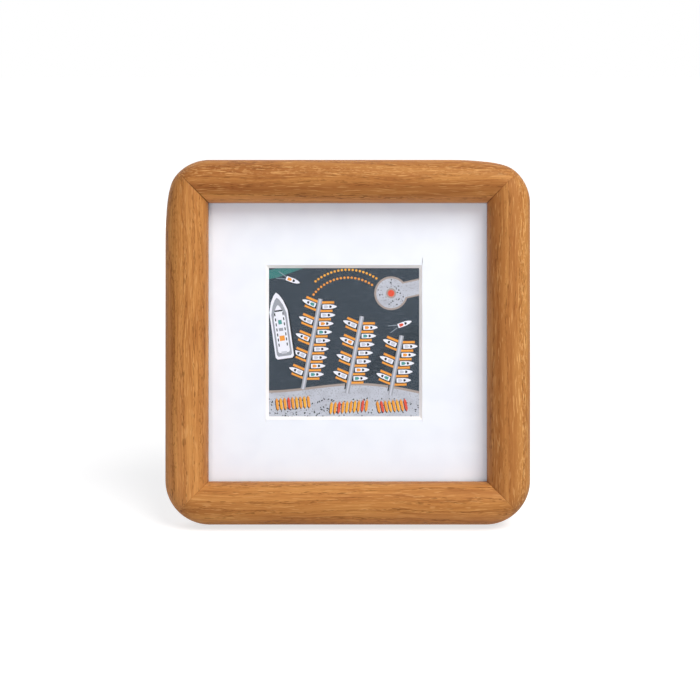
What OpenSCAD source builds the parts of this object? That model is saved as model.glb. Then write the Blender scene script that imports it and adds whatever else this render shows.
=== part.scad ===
// Square oak photo frame with routed round corners, leaning back on a hinged easel leg.
// Each piece is drawn upright: x to the viewer's right from the centre line, y backwards from
// the front crown, z up from the outer bottom edge. The whole is then leaned back to stand.

/* [Frame] */
// Outer width of the frame
frame_w = 184; // [165:1:260]
// Outer height of the frame
frame_h = 184; // [170:1:260]
// Width of each rail, seen from the front
rail_w = 21.4; // [21:0.1:26]
// Depth of each rail, front to back
rail_d = 22; // [20:0.5:30]
// Plan radius of the four outer corners
corner_r = 22.4; // [12:0.1:28]
// Radius of the routed round along the outer front edge
front_round = 10.6; // [7:0.1:11]
// Radius of the moulded round along the inner front edge
inner_round = 10.2; // [6:0.1:10.6]
// Radius that eases the outer back edge
back_round = 1.5; // [0.8:0.1:2.5]
// Width of the lip that holds the glazing
lip_w = 5.9; // [4:0.1:7]

/* [Sheets in the rebate] */
// Thickness of the glazing
glass_t = 2; // [1.5:0.1:3]
// Thickness of the mat board
mat_t = 1.5; // [1:0.1:2.5]
// Width of the print that the window shows
window_w = 76.6; // [50:0.1:90]
// Height of the print that the window shows
window_h = 75.6; // [50:0.1:90]
// How far the window is cut off the centre line
window_shift = -1.9; // [-4:0.1:4]
// Angle of the window's cut edge from the sheet's own normal
window_bevel = 45; // [0:5:50]
// Side of the square print
print_side = 102; // [100:1:110]
// Thickness of the print
print_t = 0.25; // [0.2:0.05:0.5]
// Thickness of the backing card
card_t = 1; // [0.5:0.1:2]
// Thickness of the back board
board_t = 3.2; // [2.5:0.1:4]
// Gap between each sheet's edge and the rebate wall
sheet_clear = 0.3; // [0.2:0.05:0.8]

/* [Easel leg] */
// Angle that the frame leans back by
lean = 12; // [10:0.5:16]
// Angle between the back board and the open leg
leg_open = 24; // [20:0.5:28]
// Distance of the hinge pin below the frame's top edge
hinge_drop = 56; // [44:1:75]
// Thickness of the leg
leg_t = 3.2; // [3:0.1:4]
// Width of the leg at the hinge
leg_top_w = 38; // [36:1:50]
// Width of the leg at the foot
leg_foot_w = 58; // [50:1:80]
// Radius of the leg's two top corners
leg_top_r = 2.5; // [1:0.5:6]
// Radius of the leg's two foot corners
leg_foot_r = 6; // [2:0.5:10]
// Gap between the folded leg and the back board
leg_gap = 0.25; // [0.2:0.05:0.6]

/* [Hinge] */
// Sheet thickness of both leaves
leaf_t = 0.8; // [0.6:0.1:1]
// Width of both leaves
leaf_w = 34; // [32:1:36]
// Height of each leaf above or below the pin
leaf_h = 17; // [15:0.5:22]
// Radius of the leaves' outer corners
leaf_r = 2; // [0.5:0.5:4]
// Length of the leg leaf's knuckle
knuckle_len = 12; // [8:0.5:14]
// Length of each of the board leaf's two knuckles
side_knuckle_len = 6; // [4:0.5:7]
// End gap between neighbouring knuckles
knuckle_gap = 0.2; // [0.1:0.05:0.4]
// Radius of the hinge pin
pin_r = 1; // [0.8:0.05:1.2]
// Radial running clearance of the leg knuckle on the pin
pin_clear = 0.05; // [0.03:0.01:0.1]
// Radius of the rivets' shanks
rivet_r = 1.25; // [1:0.05:1.5]
// Radius of the rivets' domed heads
rivet_head_r = 2.4; // [2:0.1:3]
// Height of the rivets' domed heads
rivet_head_h = 1; // [0.6:0.1:1.4]
// Distance of the rivets from the leaves' sides
rivet_side = 6; // [5:0.5:9]
// Distance of the rivets from the leaves' far ends
rivet_end = 5; // [4:0.5:6]

/* [Turn buttons] */
// Sheet thickness of the buttons
button_t = 1; // [0.8:0.1:1.5]
// Width of the buttons at the screw
button_w = 9; // [8:0.5:11]
// Width of the buttons at the tip
button_tip_w = 6.6; // [5:0.2:8]
// Length from the screw to the tip
button_reach = 15; // [13:0.5:18]
// Distance of each button above and below the frame's middle
button_spread = 42; // [30:1:50]
// Distance of the screws from the rebate wall
screw_set = 7; // [6:0.1:8]
// Radius of the screws' shanks
screw_r = 1.5; // [1.2:0.05:1.75]
// Radius of the screws' pan heads
screw_head_r = 3; // [2.6:0.1:3.5]
// Height of the screws' pan heads
screw_head_h = 1.7; // [1.2:0.1:2.2]
// Length of the screws' straight shanks in the wood
screw_len = 10; // [6:0.5:12]

/* [Sawtooth hanger] */
// Length of the hanger
hanger_len = 48; // [44:1:60]
// Height of the hanger
hanger_h = 8; // [7:0.5:9]
// Sheet thickness of the hanger
hanger_t = 0.9; // [0.8:0.1:1.2]
// How far the toothed middle stands off the wood
hanger_rise = 1.6; // [1.2:0.1:2.5]
// Length of the flat pad at each end
pad_len = 8; // [7:0.5:9]
// Number of notches between the teeth
notches = 9; // [5:2:11]
// Spacing of the notches
notch_pitch = 2.4; // [2:0.1:2.5]
// Depth of the notches
notch_depth = 1.7; // [1:0.1:2.5]
// Radius of the hanger nails' shanks
nail_r = 0.7; // [0.6:0.05:0.9]
// Radius of the hanger nails' heads
nail_head_r = 2; // [1.5:0.1:2.4]
// Length of the hanger nails' shanks
nail_len = 9; // [6:0.5:12]

/* [V nails] */
// Sheet thickness of the V nails across the mitres
v_nail_t = 0.5; // [0.4:0.1:0.8]
// Length of each leg of a V nail
v_nail_leg = 5; // [4:0.5:6]
// Depth that a V nail is driven to
v_nail_depth = 8; // [5:0.5:10]
// Distance of a V nail's leg ends from the rebate wall
v_nail_set = 0.8; // [0.5:0.1:1.5]

/* [Hidden] */
$fn = 96;
fit = 0.05;           // clearance round a screw, nail, rivet or V nail in its own hole
rest_gap = 0.1;       // gap under a turn button and under its screw's head
press = 0.02;         // clearance of the pin in the board leaf's knuckles
point_r = 0.2;        // blunt tip of a screw
driver_w = 0.7;       // width of the cross recess
driver_len = 3.2;     // span of the cross recess
driver_depth = 0.9;   // depth of the cross recess
flare_h = 0.7;        // height of a rivet's flush flared end
nail_head_h = 0.7;    // height of a hanger nail's head
nail_head_taper = 0.8; // radius of a hanger nail's crown, as a share of its head's radius
joggle_len = 2;       // sloping stretch between the hanger's pads and its raised middle
pin_proud = 0.6;      // how far the pin stands out of the outer knuckles
top_clear = 0.6;      // gap between the knuckles and the top of the leg
stop_gap = 0.05;      // gap left at the hinge's stop
saw_trim = 0.3;       // least that the level cut takes off the leg's foot
past = 1;             // how far a cutting shape runs past what it cuts
inside = 0.002;       // how far a straight edge starts inside the round that it runs into

// Depths, measured back from the front crown
board_front = rail_d - board_t;
card_front = board_front - card_t;
print_front = card_front - print_t;
mat_front = print_front - mat_t;
glass_front = mat_front - glass_t;

// Plan sizes
rebate_in = rail_w - lip_w;
sheet_w = frame_w - 2 * (rebate_in + sheet_clear);
sheet_h = frame_h - 2 * (rebate_in + sheet_clear);
mid_h = frame_h / 2;
screw_in = rebate_in - screw_set;
v_nail_in = rebate_in - v_nail_set - v_nail_leg;
hanger_in = (rebate_in + back_round) / 2;

// Hinge, measured from the pin's axis
hinge_h = frame_h - hinge_drop;
knuckle_r = pin_r + pin_clear + leaf_t;
leaf_front = knuckle_r - leaf_t;
pin_off = leg_gap + leg_t + leaf_t - knuckle_r;
plate_back = leaf_t - pin_off;
side_x = knuckle_len / 2 + knuckle_gap;
ear_x = side_x + side_knuckle_len + knuckle_gap;
stop_reach = (leaf_front * cos(leg_open) - plate_back - stop_gap) / sin(leg_open);
leg_drop = knuckle_r + top_clear;
rivet_x = leaf_w / 2 - rivet_side;
rivet_z = leaf_h - rivet_end;
flare_r = rivet_r + flare_h;
dome_r = (rivet_head_r * rivet_head_r + rivet_head_h * rivet_head_h) / (2 * rivet_head_h);
pin_y = rail_d + pin_off;

// Standing pose: the frame leans about the centre of its eased bottom back edge, which rests
// on the table, and the open leg reaches down to the table behind it.
turn_y = rail_d - back_round;
turn_z = back_round;
splay = leg_open - lean;
pin_back = (pin_y - turn_y) * cos(lean) + (hinge_h - turn_z) * sin(lean);
pin_up = turn_z - (pin_y - turn_y) * sin(lean) + (hinge_h - turn_z) * cos(lean);
foot_len = (pin_up + leaf_front * sin(splay)) / cos(splay);
foot_back = pin_back + leaf_front * cos(splay) + foot_len * sin(splay);
top_back = (frame_h - 2 * back_round) * sin(lean) + back_round;
crown_y = (front_round - turn_y) * cos(lean) + (front_round - turn_z) * sin(lean) - front_round;
stand_y = -(crown_y + max(foot_back, top_back)) / 2;

// Sides of the frame, each a quarter turn on from the one before
SIDES = ["bottom", "right", "top", "left"];

// Leans what is drawn upright back into the standing pose.
module stand() {
    translate([0, stand_y, turn_z])
        rotate([-lean, 0, 0])
            translate([0, -turn_y, -turn_z])
                children();
}

// Places what is drawn round the hinge pin's axis.
module at_pin() {
    translate([0, pin_y, hinge_h]) children();
}

// Places what is drawn round the pin with the leg folded flat, swung out to the open leg.
module at_open_pin() {
    at_pin() rotate([leg_open, 0, 0]) children();
}

// Whether a side is one of the two that stand upright.
function upright(side) = side == "left" || side == "right";

// Turns what is drawn as the bottom rail round to another side of the frame.
module on_side(side) {
    quarters = search([side], SIDES)[0];
    reach = upright(side) ? frame_w / 2 : mid_h;
    translate([0, 0, mid_h])
        rotate([0, -90 * quarters, 0])
            translate([0, 0, -reach])
                children();
}

// Repeats its children to the left and to the right of the centre line.
module both_sides(x) {
    for (sx = [-1, 1])
        translate([sx * x, 0, 0]) children();
}

// Cylinder or cone along y, from y0 back to y1, with a radius at each end.
module rod(y0, y1, r0, r1) {
    translate([0, y1, 0])
        rotate([90, 0, 0])
            cylinder(r1 = r1, r2 = r0, h = y1 - y0);
}

// Flat outline drawn in x and z, as a slab from depth y0 back to depth y1.
module slab(y0, y1) {
    translate([0, y1, 0])
        rotate([90, 0, 0])
            linear_extrude(y1 - y0)
                children();
}

// Point just inside the round at one of two corners, where the edge from a to b touches it.
function touch(a, b, at) =
    let (t = atan2(b.y - a.y, b.x - a.x) - acos((a.z - b.z) / norm([b.x - a.x, b.y - a.y])))
    [at.x, at.y] + (at.z - inside) * [cos(t), sin(t)];

// Outline round a list of corners [x, y, radius] in anticlockwise order, with straight edges.
module outline(corners) {
    count = len(corners);
    polygon([
        for (i = [0:count - 1])
            let (here = corners[i], prior = corners[(i + count - 1) % count], next = corners[(i + 1) % count])
            each here.z > 0 ? [touch(prior, here, here), touch(here, next, here)] : [[here.x, here.y]]
    ]);
    for (c = corners)
        if (c.z > 0) translate([c.x, c.y]) circle(c.z);
}

// Section over a corner's turning axis, x outwards from that axis and y the depth.
module edge_section() {
    flat = corner_r - front_round;
    polygon([[0, 0], [flat, 0], [flat, front_round], [corner_r, front_round],
             [corner_r, rail_d - back_round], [corner_r - back_round, rail_d - back_round],
             [corner_r - back_round, rail_d], [0, rail_d]]);
    intersection() {
        translate([flat, front_round]) circle(front_round);
        translate([flat, 0]) square(front_round);
    }
    intersection() {
        translate([corner_r - back_round, rail_d - back_round]) circle(back_round);
        translate([corner_r - back_round, rail_d - back_round]) square(back_round);
    }
}

// Section of the milled moulding before its outer edge is routed: x the depth, y inwards.
module moulding_section() {
    crown = rail_w - inner_round;
    polygon([[0, 0], [rail_d, 0], [rail_d, rebate_in], [glass_front, rebate_in],
             [glass_front, rail_w], [inner_round, rail_w], [inner_round, crown], [0, crown]]);
    intersection() {
        translate([inner_round, crown]) circle(inner_round);
        translate([0, crown]) square(inner_round);
    }
}

// Solid inside the routed outer edge along one side: straight, with a turned corner each end.
module routed_edge(length) {
    straight = length - 2 * corner_r;
    translate([-straight / 2, 0, corner_r])
        rotate([90, 90, 90])
            linear_extrude(straight)
                edge_section();
    for (end = [-1, 1])
        translate([end * straight / 2, 0, corner_r])
            rotate([-90, 0, 0])
                rotate([0, 0, end > 0 ? 0 : 90])
                    rotate_extrude(angle = 90)
                        edge_section();
    if (rail_w > corner_r)
        translate([-straight / 2, 0, corner_r]) cube([straight, rail_d, rail_w - corner_r]);
}

// One mitred rail along x, with its outer edge at z = 0.
module rail(length) {
    mitre = rail_w + past;
    intersection() {
        routed_edge(length);
        translate([-length / 2, 0, 0])
            rotate([90, 0, 90])
                linear_extrude(length)
                    moulding_section();
        slab(-past, rail_d + past)
            polygon([[-length / 2, 0], [length / 2, 0], [length / 2 - mitre, mitre],
                     [mitre - length / 2, mitre]]);
    }
}

// A rail in its place, with the holes for what is driven into it.
module placed_rail(side) {
    color("peru")
        stand()
            difference() {
                on_side(side) rail(upright(side) ? frame_h : frame_w);
                v_nails(fit, past);
                if (side == "right") screw_holes(1);
                if (side == "left") screw_holes(-1);
                if (side == "top") at_hanger_nails() rod(-nail_len - fit, past, nail_r + fit, nail_r + fit);
            }
}

// The four V nails across the mitres. Their slots are the same shape, grown by a clearance.
module v_nails(grow, proud) {
    arm = v_nail_leg + grow;
    web = v_nail_t + grow;
    for (sx = [-1, 1], sz = [-1, 1])
        translate([sx * (frame_w / 2 - v_nail_in), 0, mid_h + sz * (mid_h - v_nail_in)])
            mirror([sx > 0 ? 1 : 0, 0, 0])
                mirror([0, 0, sz > 0 ? 1 : 0])
                    slab(rail_d - v_nail_depth - grow, rail_d + proud)
                        polygon([[-grow, -grow], [arm, -grow], [arm, web], [web, web], [web, arm],
                                 [-grow, arm]]);
}

module corner_v_nails() {
    color("silver") stand() v_nails(0, 0);
}

// A sheet that fills the rebate between two depths.
module sheet(y0, y1) {
    translate([-sheet_w / 2, y0, rebate_in + sheet_clear])
        cube([sheet_w, y1 - y0, sheet_h]);
}

module glazing() {
    color("lightcyan", 0.4) stand() sheet(glass_front, mat_front);
}

// Wedge that widens towards the glazing. Two of them, crossed, leave the window's bevels.
module bevel_wedge(size, length) {
    half = size / 2;
    wide = half + (mat_t + past) * tan(window_bevel);
    linear_extrude(length, center = true)
        polygon([[-wide, mat_front - past], [wide, mat_front - past], [half, print_front],
                 [half, print_front + past], [-half, print_front + past], [-half, print_front]]);
}

module mat_board() {
    span = max(window_w, window_h) + 4 * (mat_t + past) * max(1, tan(window_bevel));
    color("white")
        stand()
            difference() {
                sheet(mat_front, print_front);
                translate([window_shift, 0, mid_h])
                    intersection() {
                        bevel_wedge(window_w, span);
                        rotate([0, 90, 0]) bevel_wedge(window_h, span);
                    }
            }
}

module print_sheet() {
    color("darkslategray")
        stand()
            translate([window_shift - print_side / 2, print_front, mid_h - print_side / 2])
                cube([print_side, print_t, print_side]);
}

module backing_card() {
    color("gray") stand() sheet(card_front, board_front);
}

module back_board() {
    color("saddlebrown")
        stand()
            difference() {
                sheet(board_front, rail_d);
                at_pin() at_board_rivets() rivet_hole(leaf_t + board_t);
            }
}

// Places the screw of one button: sx picks the left or right rail, sz the lower or upper one.
module at_screw(sx, sz) {
    translate([sx * (frame_w / 2 - screw_in), rail_d, mid_h + sz * button_spread])
        children();
}

module turn_button(sx, sz) {
    tip_r = button_tip_w / 2;
    color("dimgray")
        stand()
            at_screw(sx, sz)
                mirror([sx < 0 ? 1 : 0, 0, 0])
                    slab(rest_gap, rest_gap + button_t)
                        difference() {
                            outline([[0, 0, button_w / 2], [tip_r - button_reach, 0, tip_r]]);
                            circle(screw_r + pin_clear);
                        }
}

// Pan head with a rolled rim, its crown at 0 and its seat at screw_head_h.
module pan_head() {
    rim = screw_head_h / 2;
    rotate_extrude() {
        square([screw_head_r - rim, screw_head_h]);
        translate([0, rim]) square([screw_head_r, screw_head_h - rim]);
        intersection() {
            translate([screw_head_r - rim, rim]) circle(rim);
            translate([screw_head_r - rim, 0]) square(rim);
        }
    }
}

// One screw, driven forwards into the wood from depth 0 through its button.
module screw() {
    seat = 2 * rest_gap + button_t;
    crown = seat + screw_head_h;
    difference() {
        union() {
            rod(-screw_len, seat, screw_r, screw_r);
            rod(-screw_len - 2 * screw_r, -screw_len, point_r, screw_r);
            translate([0, crown, 0]) rotate([90, 0, 0]) pan_head();
        }
        for (turn = [0, 90])
            translate([0, crown, 0])
                rotate([0, turn, 0])
                    cube([driver_len, 2 * driver_depth, driver_w], center = true);
    }
}

// Holes for the two screws of the left or right rail.
module screw_holes(sx) {
    hole = screw_r + fit;
    for (sz = [-1, 1])
        at_screw(sx, sz) {
            rod(-screw_len, past, hole, hole);
            rod(-screw_len - 2 * screw_r - fit, -screw_len, point_r, hole);
        }
}

module turn_button_screws() {
    color("silver")
        stand()
            for (sx = [-1, 1], sz = [-1, 1])
                at_screw(sx, sz) screw();
}

// Rivet through a grip of sheets that ends at depth 0: domed behind, flared flush in front.
module rivet(grip) {
    intersection() {
        translate([0, rivet_head_h - dome_r, 0]) sphere(dome_r);
        rod(0, rivet_head_h + past, rivet_head_r, rivet_head_r);
    }
    rod(-grip, 0, rivet_r, rivet_r);
    rod(-grip, flare_h - grip, flare_r, rivet_r);
}

module rivet_hole(grip) {
    rod(-grip - past, past, rivet_r + fit, rivet_r + fit);
    rod(-grip, flare_h - grip, flare_r + fit, rivet_r + fit);
}

module at_board_rivets() {
    both_sides(rivet_x) translate([0, plate_back, rivet_z]) children();
}

module at_leg_rivets() {
    both_sides(rivet_x) translate([0, knuckle_r, -rivet_z]) children();
}

// Tube round the pin's axis, centred at x = 0.
module knuckle(length, bore) {
    rotate([0, 90, 0])
        difference() {
            cylinder(r = knuckle_r, h = length, center = true);
            cylinder(r = bore, h = length + 2 * past, center = true);
        }
}

// Outline of a leaf's plate, from height z0 up to its rounded far corners.
module leaf_plate(z0) {
    x = leaf_w / 2;
    far = leaf_h - leaf_r;
    outline([[-x, z0, 0], [x, z0, 0], [x - leaf_r, far, leaf_r], [leaf_r - x, far, leaf_r]]);
}

// Leaf on the back board: a plate whose lower edge turns back over the pin and curls round it.
module hinge_board_leaf() {
    color("silver")
        stand() at_pin()
            difference() {
                union() {
                    slab(-pin_off, plate_back)
                        difference() {
                            leaf_plate(leaf_front);
                            square([2 * side_x, 2 * (knuckle_r + knuckle_gap)], center = true);
                        }
                    both_sides(side_x + side_knuckle_len / 2) {
                        translate([-side_knuckle_len / 2, -pin_off, leaf_front])
                            cube([side_knuckle_len, pin_off, leaf_t]);
                        knuckle(side_knuckle_len, pin_r + press);
                    }
                }
                at_board_rivets() rivet_hole(leaf_t + board_t);
            }
}

module hinge_board_rivets() {
    color("silver") stand() at_pin() at_board_rivets() rivet(leaf_t + board_t);
}

module hinge_pin() {
    color("gray")
        stand() at_pin()
            rotate([0, 90, 0])
                cylinder(r = pin_r, h = 2 * (side_x + side_knuckle_len + pin_proud), center = true);
}

// Leaf behind the leg: a plate, one knuckle, and two ears that meet the board leaf as a stop.
module hinge_leg_leaf() {
    slot_w = side_knuckle_len + 2 * knuckle_gap;
    color("silver")
        stand() at_open_pin()
            difference() {
                union() {
                    slab(leaf_front, knuckle_r)
                        difference() {
                            mirror([0, 1]) leaf_plate(-stop_reach);
                            both_sides(ear_x - slot_w / 2)
                                square([slot_w, 2 * (knuckle_r + knuckle_gap)], center = true);
                            translate([-ear_x, 0]) square([2 * ear_x, stop_reach + past]);
                        }
                    knuckle(knuckle_len, pin_r + pin_clear);
                }
                at_leg_rivets() rivet_hole(leaf_t + leg_t);
            }
}

module hinge_leg_rivets() {
    color("silver") stand() at_open_pin() at_leg_rivets() rivet(leaf_t + leg_t);
}

// The leg, sawn level with the table at its foot.
module easel_leg() {
    top_x = leg_top_w / 2 - leg_top_r;
    top_z = -leg_drop - leg_top_r;
    foot_x = leg_foot_w / 2 - leg_foot_r;
    foot_z = leg_foot_r - foot_len - saw_trim;
    color("sienna")
        difference() {
            stand() at_open_pin()
                difference() {
                    slab(leaf_front - leg_t, leaf_front)
                        outline([[-foot_x, foot_z, leg_foot_r], [foot_x, foot_z, leg_foot_r],
                                 [top_x, top_z, leg_top_r], [-top_x, top_z, leg_top_r]]);
                    at_leg_rivets() rivet_hole(leaf_t + leg_t);
                }
            translate([-leg_foot_w, -frame_h, -leg_foot_r])
                cube([2 * leg_foot_w, 2 * frame_h, leg_foot_r]);
        }
}

// Places what is drawn round the middle of the hanger.
module at_hanger() {
    translate([0, rail_d, frame_h - hanger_in]) children();
}

module at_hanger_nails() {
    at_hanger() both_sides((hanger_len - pad_len) / 2) children();
}

// Bent strip of the hanger, seen from above: x along the rail, y out from the wood.
module hanger_strip() {
    end = hanger_len / 2;
    mid = end - pad_len;
    inner = [[-end, 0], [-mid, 0], [joggle_len - mid, hanger_rise], [mid - joggle_len, hanger_rise],
             [mid, 0], [end, 0]];
    outer = [for (i = [len(inner) - 1:-1:0]) inner[i] + [0, hanger_t]];
    polygon(concat(inner, outer));
}

module hanger_plate() {
    color("silver")
        stand()
            difference() {
                at_hanger()
                    difference() {
                        translate([0, 0, -hanger_h / 2]) linear_extrude(hanger_h) hanger_strip();
                        for (i = [0:notches - 1])
                            translate([(i - (notches - 1) / 2) * notch_pitch, 0, -hanger_h / 2])
                                slab(-past, hanger_rise + hanger_t + past)
                                    polygon([[-notch_pitch / 2, -fit], [notch_pitch / 2, -fit],
                                             [0, notch_depth]]);
                    }
                at_hanger_nails() rod(-past, hanger_t + past, nail_r + fit, nail_r + fit);
            }
}

module hanger_nails() {
    color("silver")
        stand() at_hanger_nails() {
            rod(-nail_len, hanger_t, nail_r, nail_r);
            rod(hanger_t, hanger_t + nail_head_h, nail_head_r, nail_head_r * nail_head_taper);
        }
}

placed_rail("top");  // rail_top
placed_rail("bottom");  // rail_bottom
placed_rail("left");  // rail_left
placed_rail("right");  // rail_right
corner_v_nails();
glazing();
mat_board();
print_sheet();  // print
backing_card();
back_board();
turn_button(-1, 1);  // turn_button_left_upper
turn_button(-1, -1);  // turn_button_left_lower
turn_button(1, 1);  // turn_button_right_upper
turn_button(1, -1);  // turn_button_right_lower
turn_button_screws();
hinge_board_leaf();
hinge_board_rivets();
hinge_pin();
hinge_leg_leaf();
hinge_leg_rivets();
easel_leg();
hanger_plate();
hanger_nails();
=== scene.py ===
"""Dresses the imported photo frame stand: oak mouldings, glazing, mat, print and easel back."""

import logging
import math
import random
from collections.abc import Iterator
from contextlib import contextmanager
from dataclasses import dataclass, field
from enum import Enum

import bmesh
import bpy
from mathutils import Matrix, Vector
from mathutils.geometry import delaunay_2d_cdt


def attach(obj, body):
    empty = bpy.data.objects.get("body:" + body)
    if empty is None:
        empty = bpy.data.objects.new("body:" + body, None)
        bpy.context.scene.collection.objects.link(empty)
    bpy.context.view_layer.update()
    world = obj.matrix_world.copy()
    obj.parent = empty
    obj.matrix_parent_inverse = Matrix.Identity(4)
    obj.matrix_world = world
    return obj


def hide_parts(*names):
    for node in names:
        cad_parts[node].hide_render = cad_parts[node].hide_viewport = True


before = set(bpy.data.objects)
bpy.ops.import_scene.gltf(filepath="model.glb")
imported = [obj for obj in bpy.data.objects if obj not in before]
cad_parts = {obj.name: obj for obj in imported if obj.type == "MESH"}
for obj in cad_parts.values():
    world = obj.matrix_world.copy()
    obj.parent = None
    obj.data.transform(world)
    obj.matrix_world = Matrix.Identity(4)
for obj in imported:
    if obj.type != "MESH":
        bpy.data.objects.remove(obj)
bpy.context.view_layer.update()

LOG = logging.getLogger("frame_stand")
MM = 0.001
FRAME_BODY, LEG_BODY = "frame_assembly", "leg_assembly"
CORNERS = ((-1, -1), (1, -1), (1, 1), (-1, 1))
Outline = list[tuple[float, float]]

# Kinds of nodes that the tables name often, some with their settings
MAPPING, NOISE, ATTRIBUTE = "ShaderNodeMapping", "ShaderNodeTexNoise", "ShaderNodeAttribute"
SPREAD, BUMP, VECTOR = "ShaderNodeMapRange", "ShaderNodeBump", "ShaderNodeVectorMath"
SOFT = (SPREAD, {"interpolation_type": "SMOOTHSTEP"})
MIX = ("ShaderNodeMix", {"data_type": "RGBA"})
READ, STORE = "GeometryNodeInputNamedAttribute", "GeometryNodeStoreNamedAttribute"
TO_CURVE, SWEEP = "GeometryNodeMeshToCurve", "GeometryNodeCurveToMesh"
PLACE, COMBINE = "GeometryNodeSetPosition", "ShaderNodeCombineXYZ"


# Shared small tools


def ink(code: str, alpha: float = 1.0) -> tuple[float, float, float, float]:
    """Turns an sRGB hex colour into a linear colour.

    Args:
        code: The colour, such as "#bb7d48".
        alpha: The fourth value of the result.

    Returns:
        Linear red, green and blue, then alpha.
    """
    parts = [int(code[i : i + 2], 16) / 255 for i in (1, 3, 5)]
    return (*[p / 12.92 if p <= 0.04045 else ((p + 0.055) / 1.055) ** 2.4 for p in parts], alpha)


def add_node(
    tree: bpy.types.NodeTree, kind: str, settings: dict | None = None, links: dict | None = None
) -> bpy.types.Node:
    """Adds one node to a tree.

    Args:
        tree: The tree to add to.
        kind: The node's type name.
        settings: Its properties by name.
        links: Values or output sockets for its inputs, by name, or by number among the inputs
            in use. Each socket of a list is linked to the same input.

    Returns:
        The new node.
    """
    node = tree.nodes.new(kind)
    for name, value in (settings or {}).items():
        setattr(node, name, value)
    used = [socket for socket in node.inputs if socket.enabled]
    for key, value in (links or {}).items():
        entry = used[key] if isinstance(key, int) else node.inputs[key]
        for one in value if isinstance(value, list) else [value]:
            if isinstance(one, bpy.types.NodeSocket):
                tree.links.new(one, entry)
            else:
                entry.default_value = one
    return node


def add_nodes(
    tree: bpy.types.NodeTree, rows: dict[str, tuple], known: dict[str, bpy.types.NodeSocket]
) -> dict[str, bpy.types.NodeSocket]:
    """Adds the nodes of a table, in which a row may name the results of earlier ones.

    Args:
        tree: The tree to add to.
        rows: For each result its node's kind, then the inputs in order or as one dict. A kind is
            a type name, a type name with its settings, or the operation of a Math node. An input
            that is text is a hex colour or names a result: "name" is the first output in use of
            that row's node, and "name:Output" is any other.
        known: Sockets that the rows may name.

    Returns:
        The known sockets and all the results, by name.
    """
    have = dict(known)
    for name, (kind, *inputs) in rows.items():
        if isinstance(kind, str):
            kind = ("ShaderNodeMath", {"operation": kind}) if kind.isupper() else (kind, {})
        listed = bool(inputs) and isinstance(inputs[0], dict)
        links = dict(inputs[0] if listed else enumerate(inputs))
        for key, value in links.items():
            if isinstance(value, list):
                links[key] = [have[one] for one in value]
            elif isinstance(value, str) and key != "Name":
                links[key] = ink(value) if value.startswith("#") else have[value]
        outputs = add_node(tree, *kind, links).outputs
        for socket in reversed([socket for socket in outputs if socket.enabled]):
            have[name] = have[f"{name}:{socket.name}"] = socket
    return have


def patterns(along: str, **kinds: tuple) -> dict[str, tuple]:
    """Gives the rows of noise patterns of real sizes.

    Args:
        along: The result whose millimetres they follow.
        kinds: For each pattern its length along x, y and z in millimetres, the shift that keeps
            it apart from the others, and its detail where that isn't 2.

    Returns:
        Two rows for each pattern, of which the second has the pattern's name.
    """
    rows: dict[str, tuple] = {}
    for name, (size, shift, *detail) in kinds.items():
        place = {"Scale": tuple(1 / s for s in size)}
        place["Location"] = (shift, shift * 1.7, shift * 0.6)
        look = {"Scale": 1.0, "Roughness": 0.55, "Detail": detail[0] if detail else 2.0}
        rows[f"{name}_at"] = (MAPPING, {"Vector": along, **place})
        rows[name] = (NOISE, {"Vector": f"{name}_at", **look})
    return rows


def new_object(name: str, data: bpy.types.ID) -> bpy.types.Object:
    """Puts a mesh, lamp or camera into the scene.

    Args:
        name: The object's name.
        data: What it shows.

    Returns:
        The object, at the origin.
    """
    thing = bpy.data.objects.new(name, data)
    bpy.context.scene.collection.objects.link(thing)
    return thing


@contextmanager
def opened(mesh: bpy.types.Mesh, outwards: bool = False) -> Iterator[bmesh.types.BMesh]:
    """Opens a mesh for editing and writes it back at the end.

    Args:
        mesh: The mesh, which may be empty.
        outwards: Whether its faces are turned outwards at the end.

    Yields:
        The mesh's points, edges and faces.
    """
    work = bmesh.new()
    work.from_mesh(mesh)
    yield work
    if outwards:
        bmesh.ops.recalc_face_normals(work, faces=work.faces)
    work.to_mesh(mesh)
    work.free()


def join_rings(work: bmesh.types.BMesh, here: list, there: list) -> None:
    """Joins two rings of as many corners with a band of faces."""
    for i in range(len(here)):
        work.faces.new((here[i - 1], here[i], there[i], there[i - 1]))


def settle(thing: bpy.types.Object, smooth_under: float = 35.0) -> None:
    """Turns an object with modifiers into a plain mesh with soft rounds and crisp edges.

    Args:
        thing: The object to settle.
        smooth_under: Angle in degrees under which an edge is shaded smooth.
    """
    graph = bpy.context.evaluated_depsgraph_get()
    mesh = bpy.data.meshes.new_from_object(
        thing.evaluated_get(graph), preserve_all_data_layers=True, depsgraph=graph
    )
    thing.modifiers.clear()
    thing.data = mesh
    mesh.name = thing.name
    mesh.shade_smooth()
    mesh.set_sharp_from_angle(angle=math.radians(smooth_under))


def hand_over(
    piece: bpy.types.Object, body: str, node: str, finish: bpy.types.Material
) -> None:
    """Tells the frame what a finished piece rides on, replaces and is made of.

    Args:
        piece: The finished piece.
        body: The body that it moves with.
        node: The CAD node that it stands for.
        finish: Its material.
    """
    piece.data.materials.clear()
    piece.data.materials.append(finish)
    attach(piece, body)
    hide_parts(node)
    LOG.info("%s on %s: %d faces", piece.name, body, len(piece.data.polygons))


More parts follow.
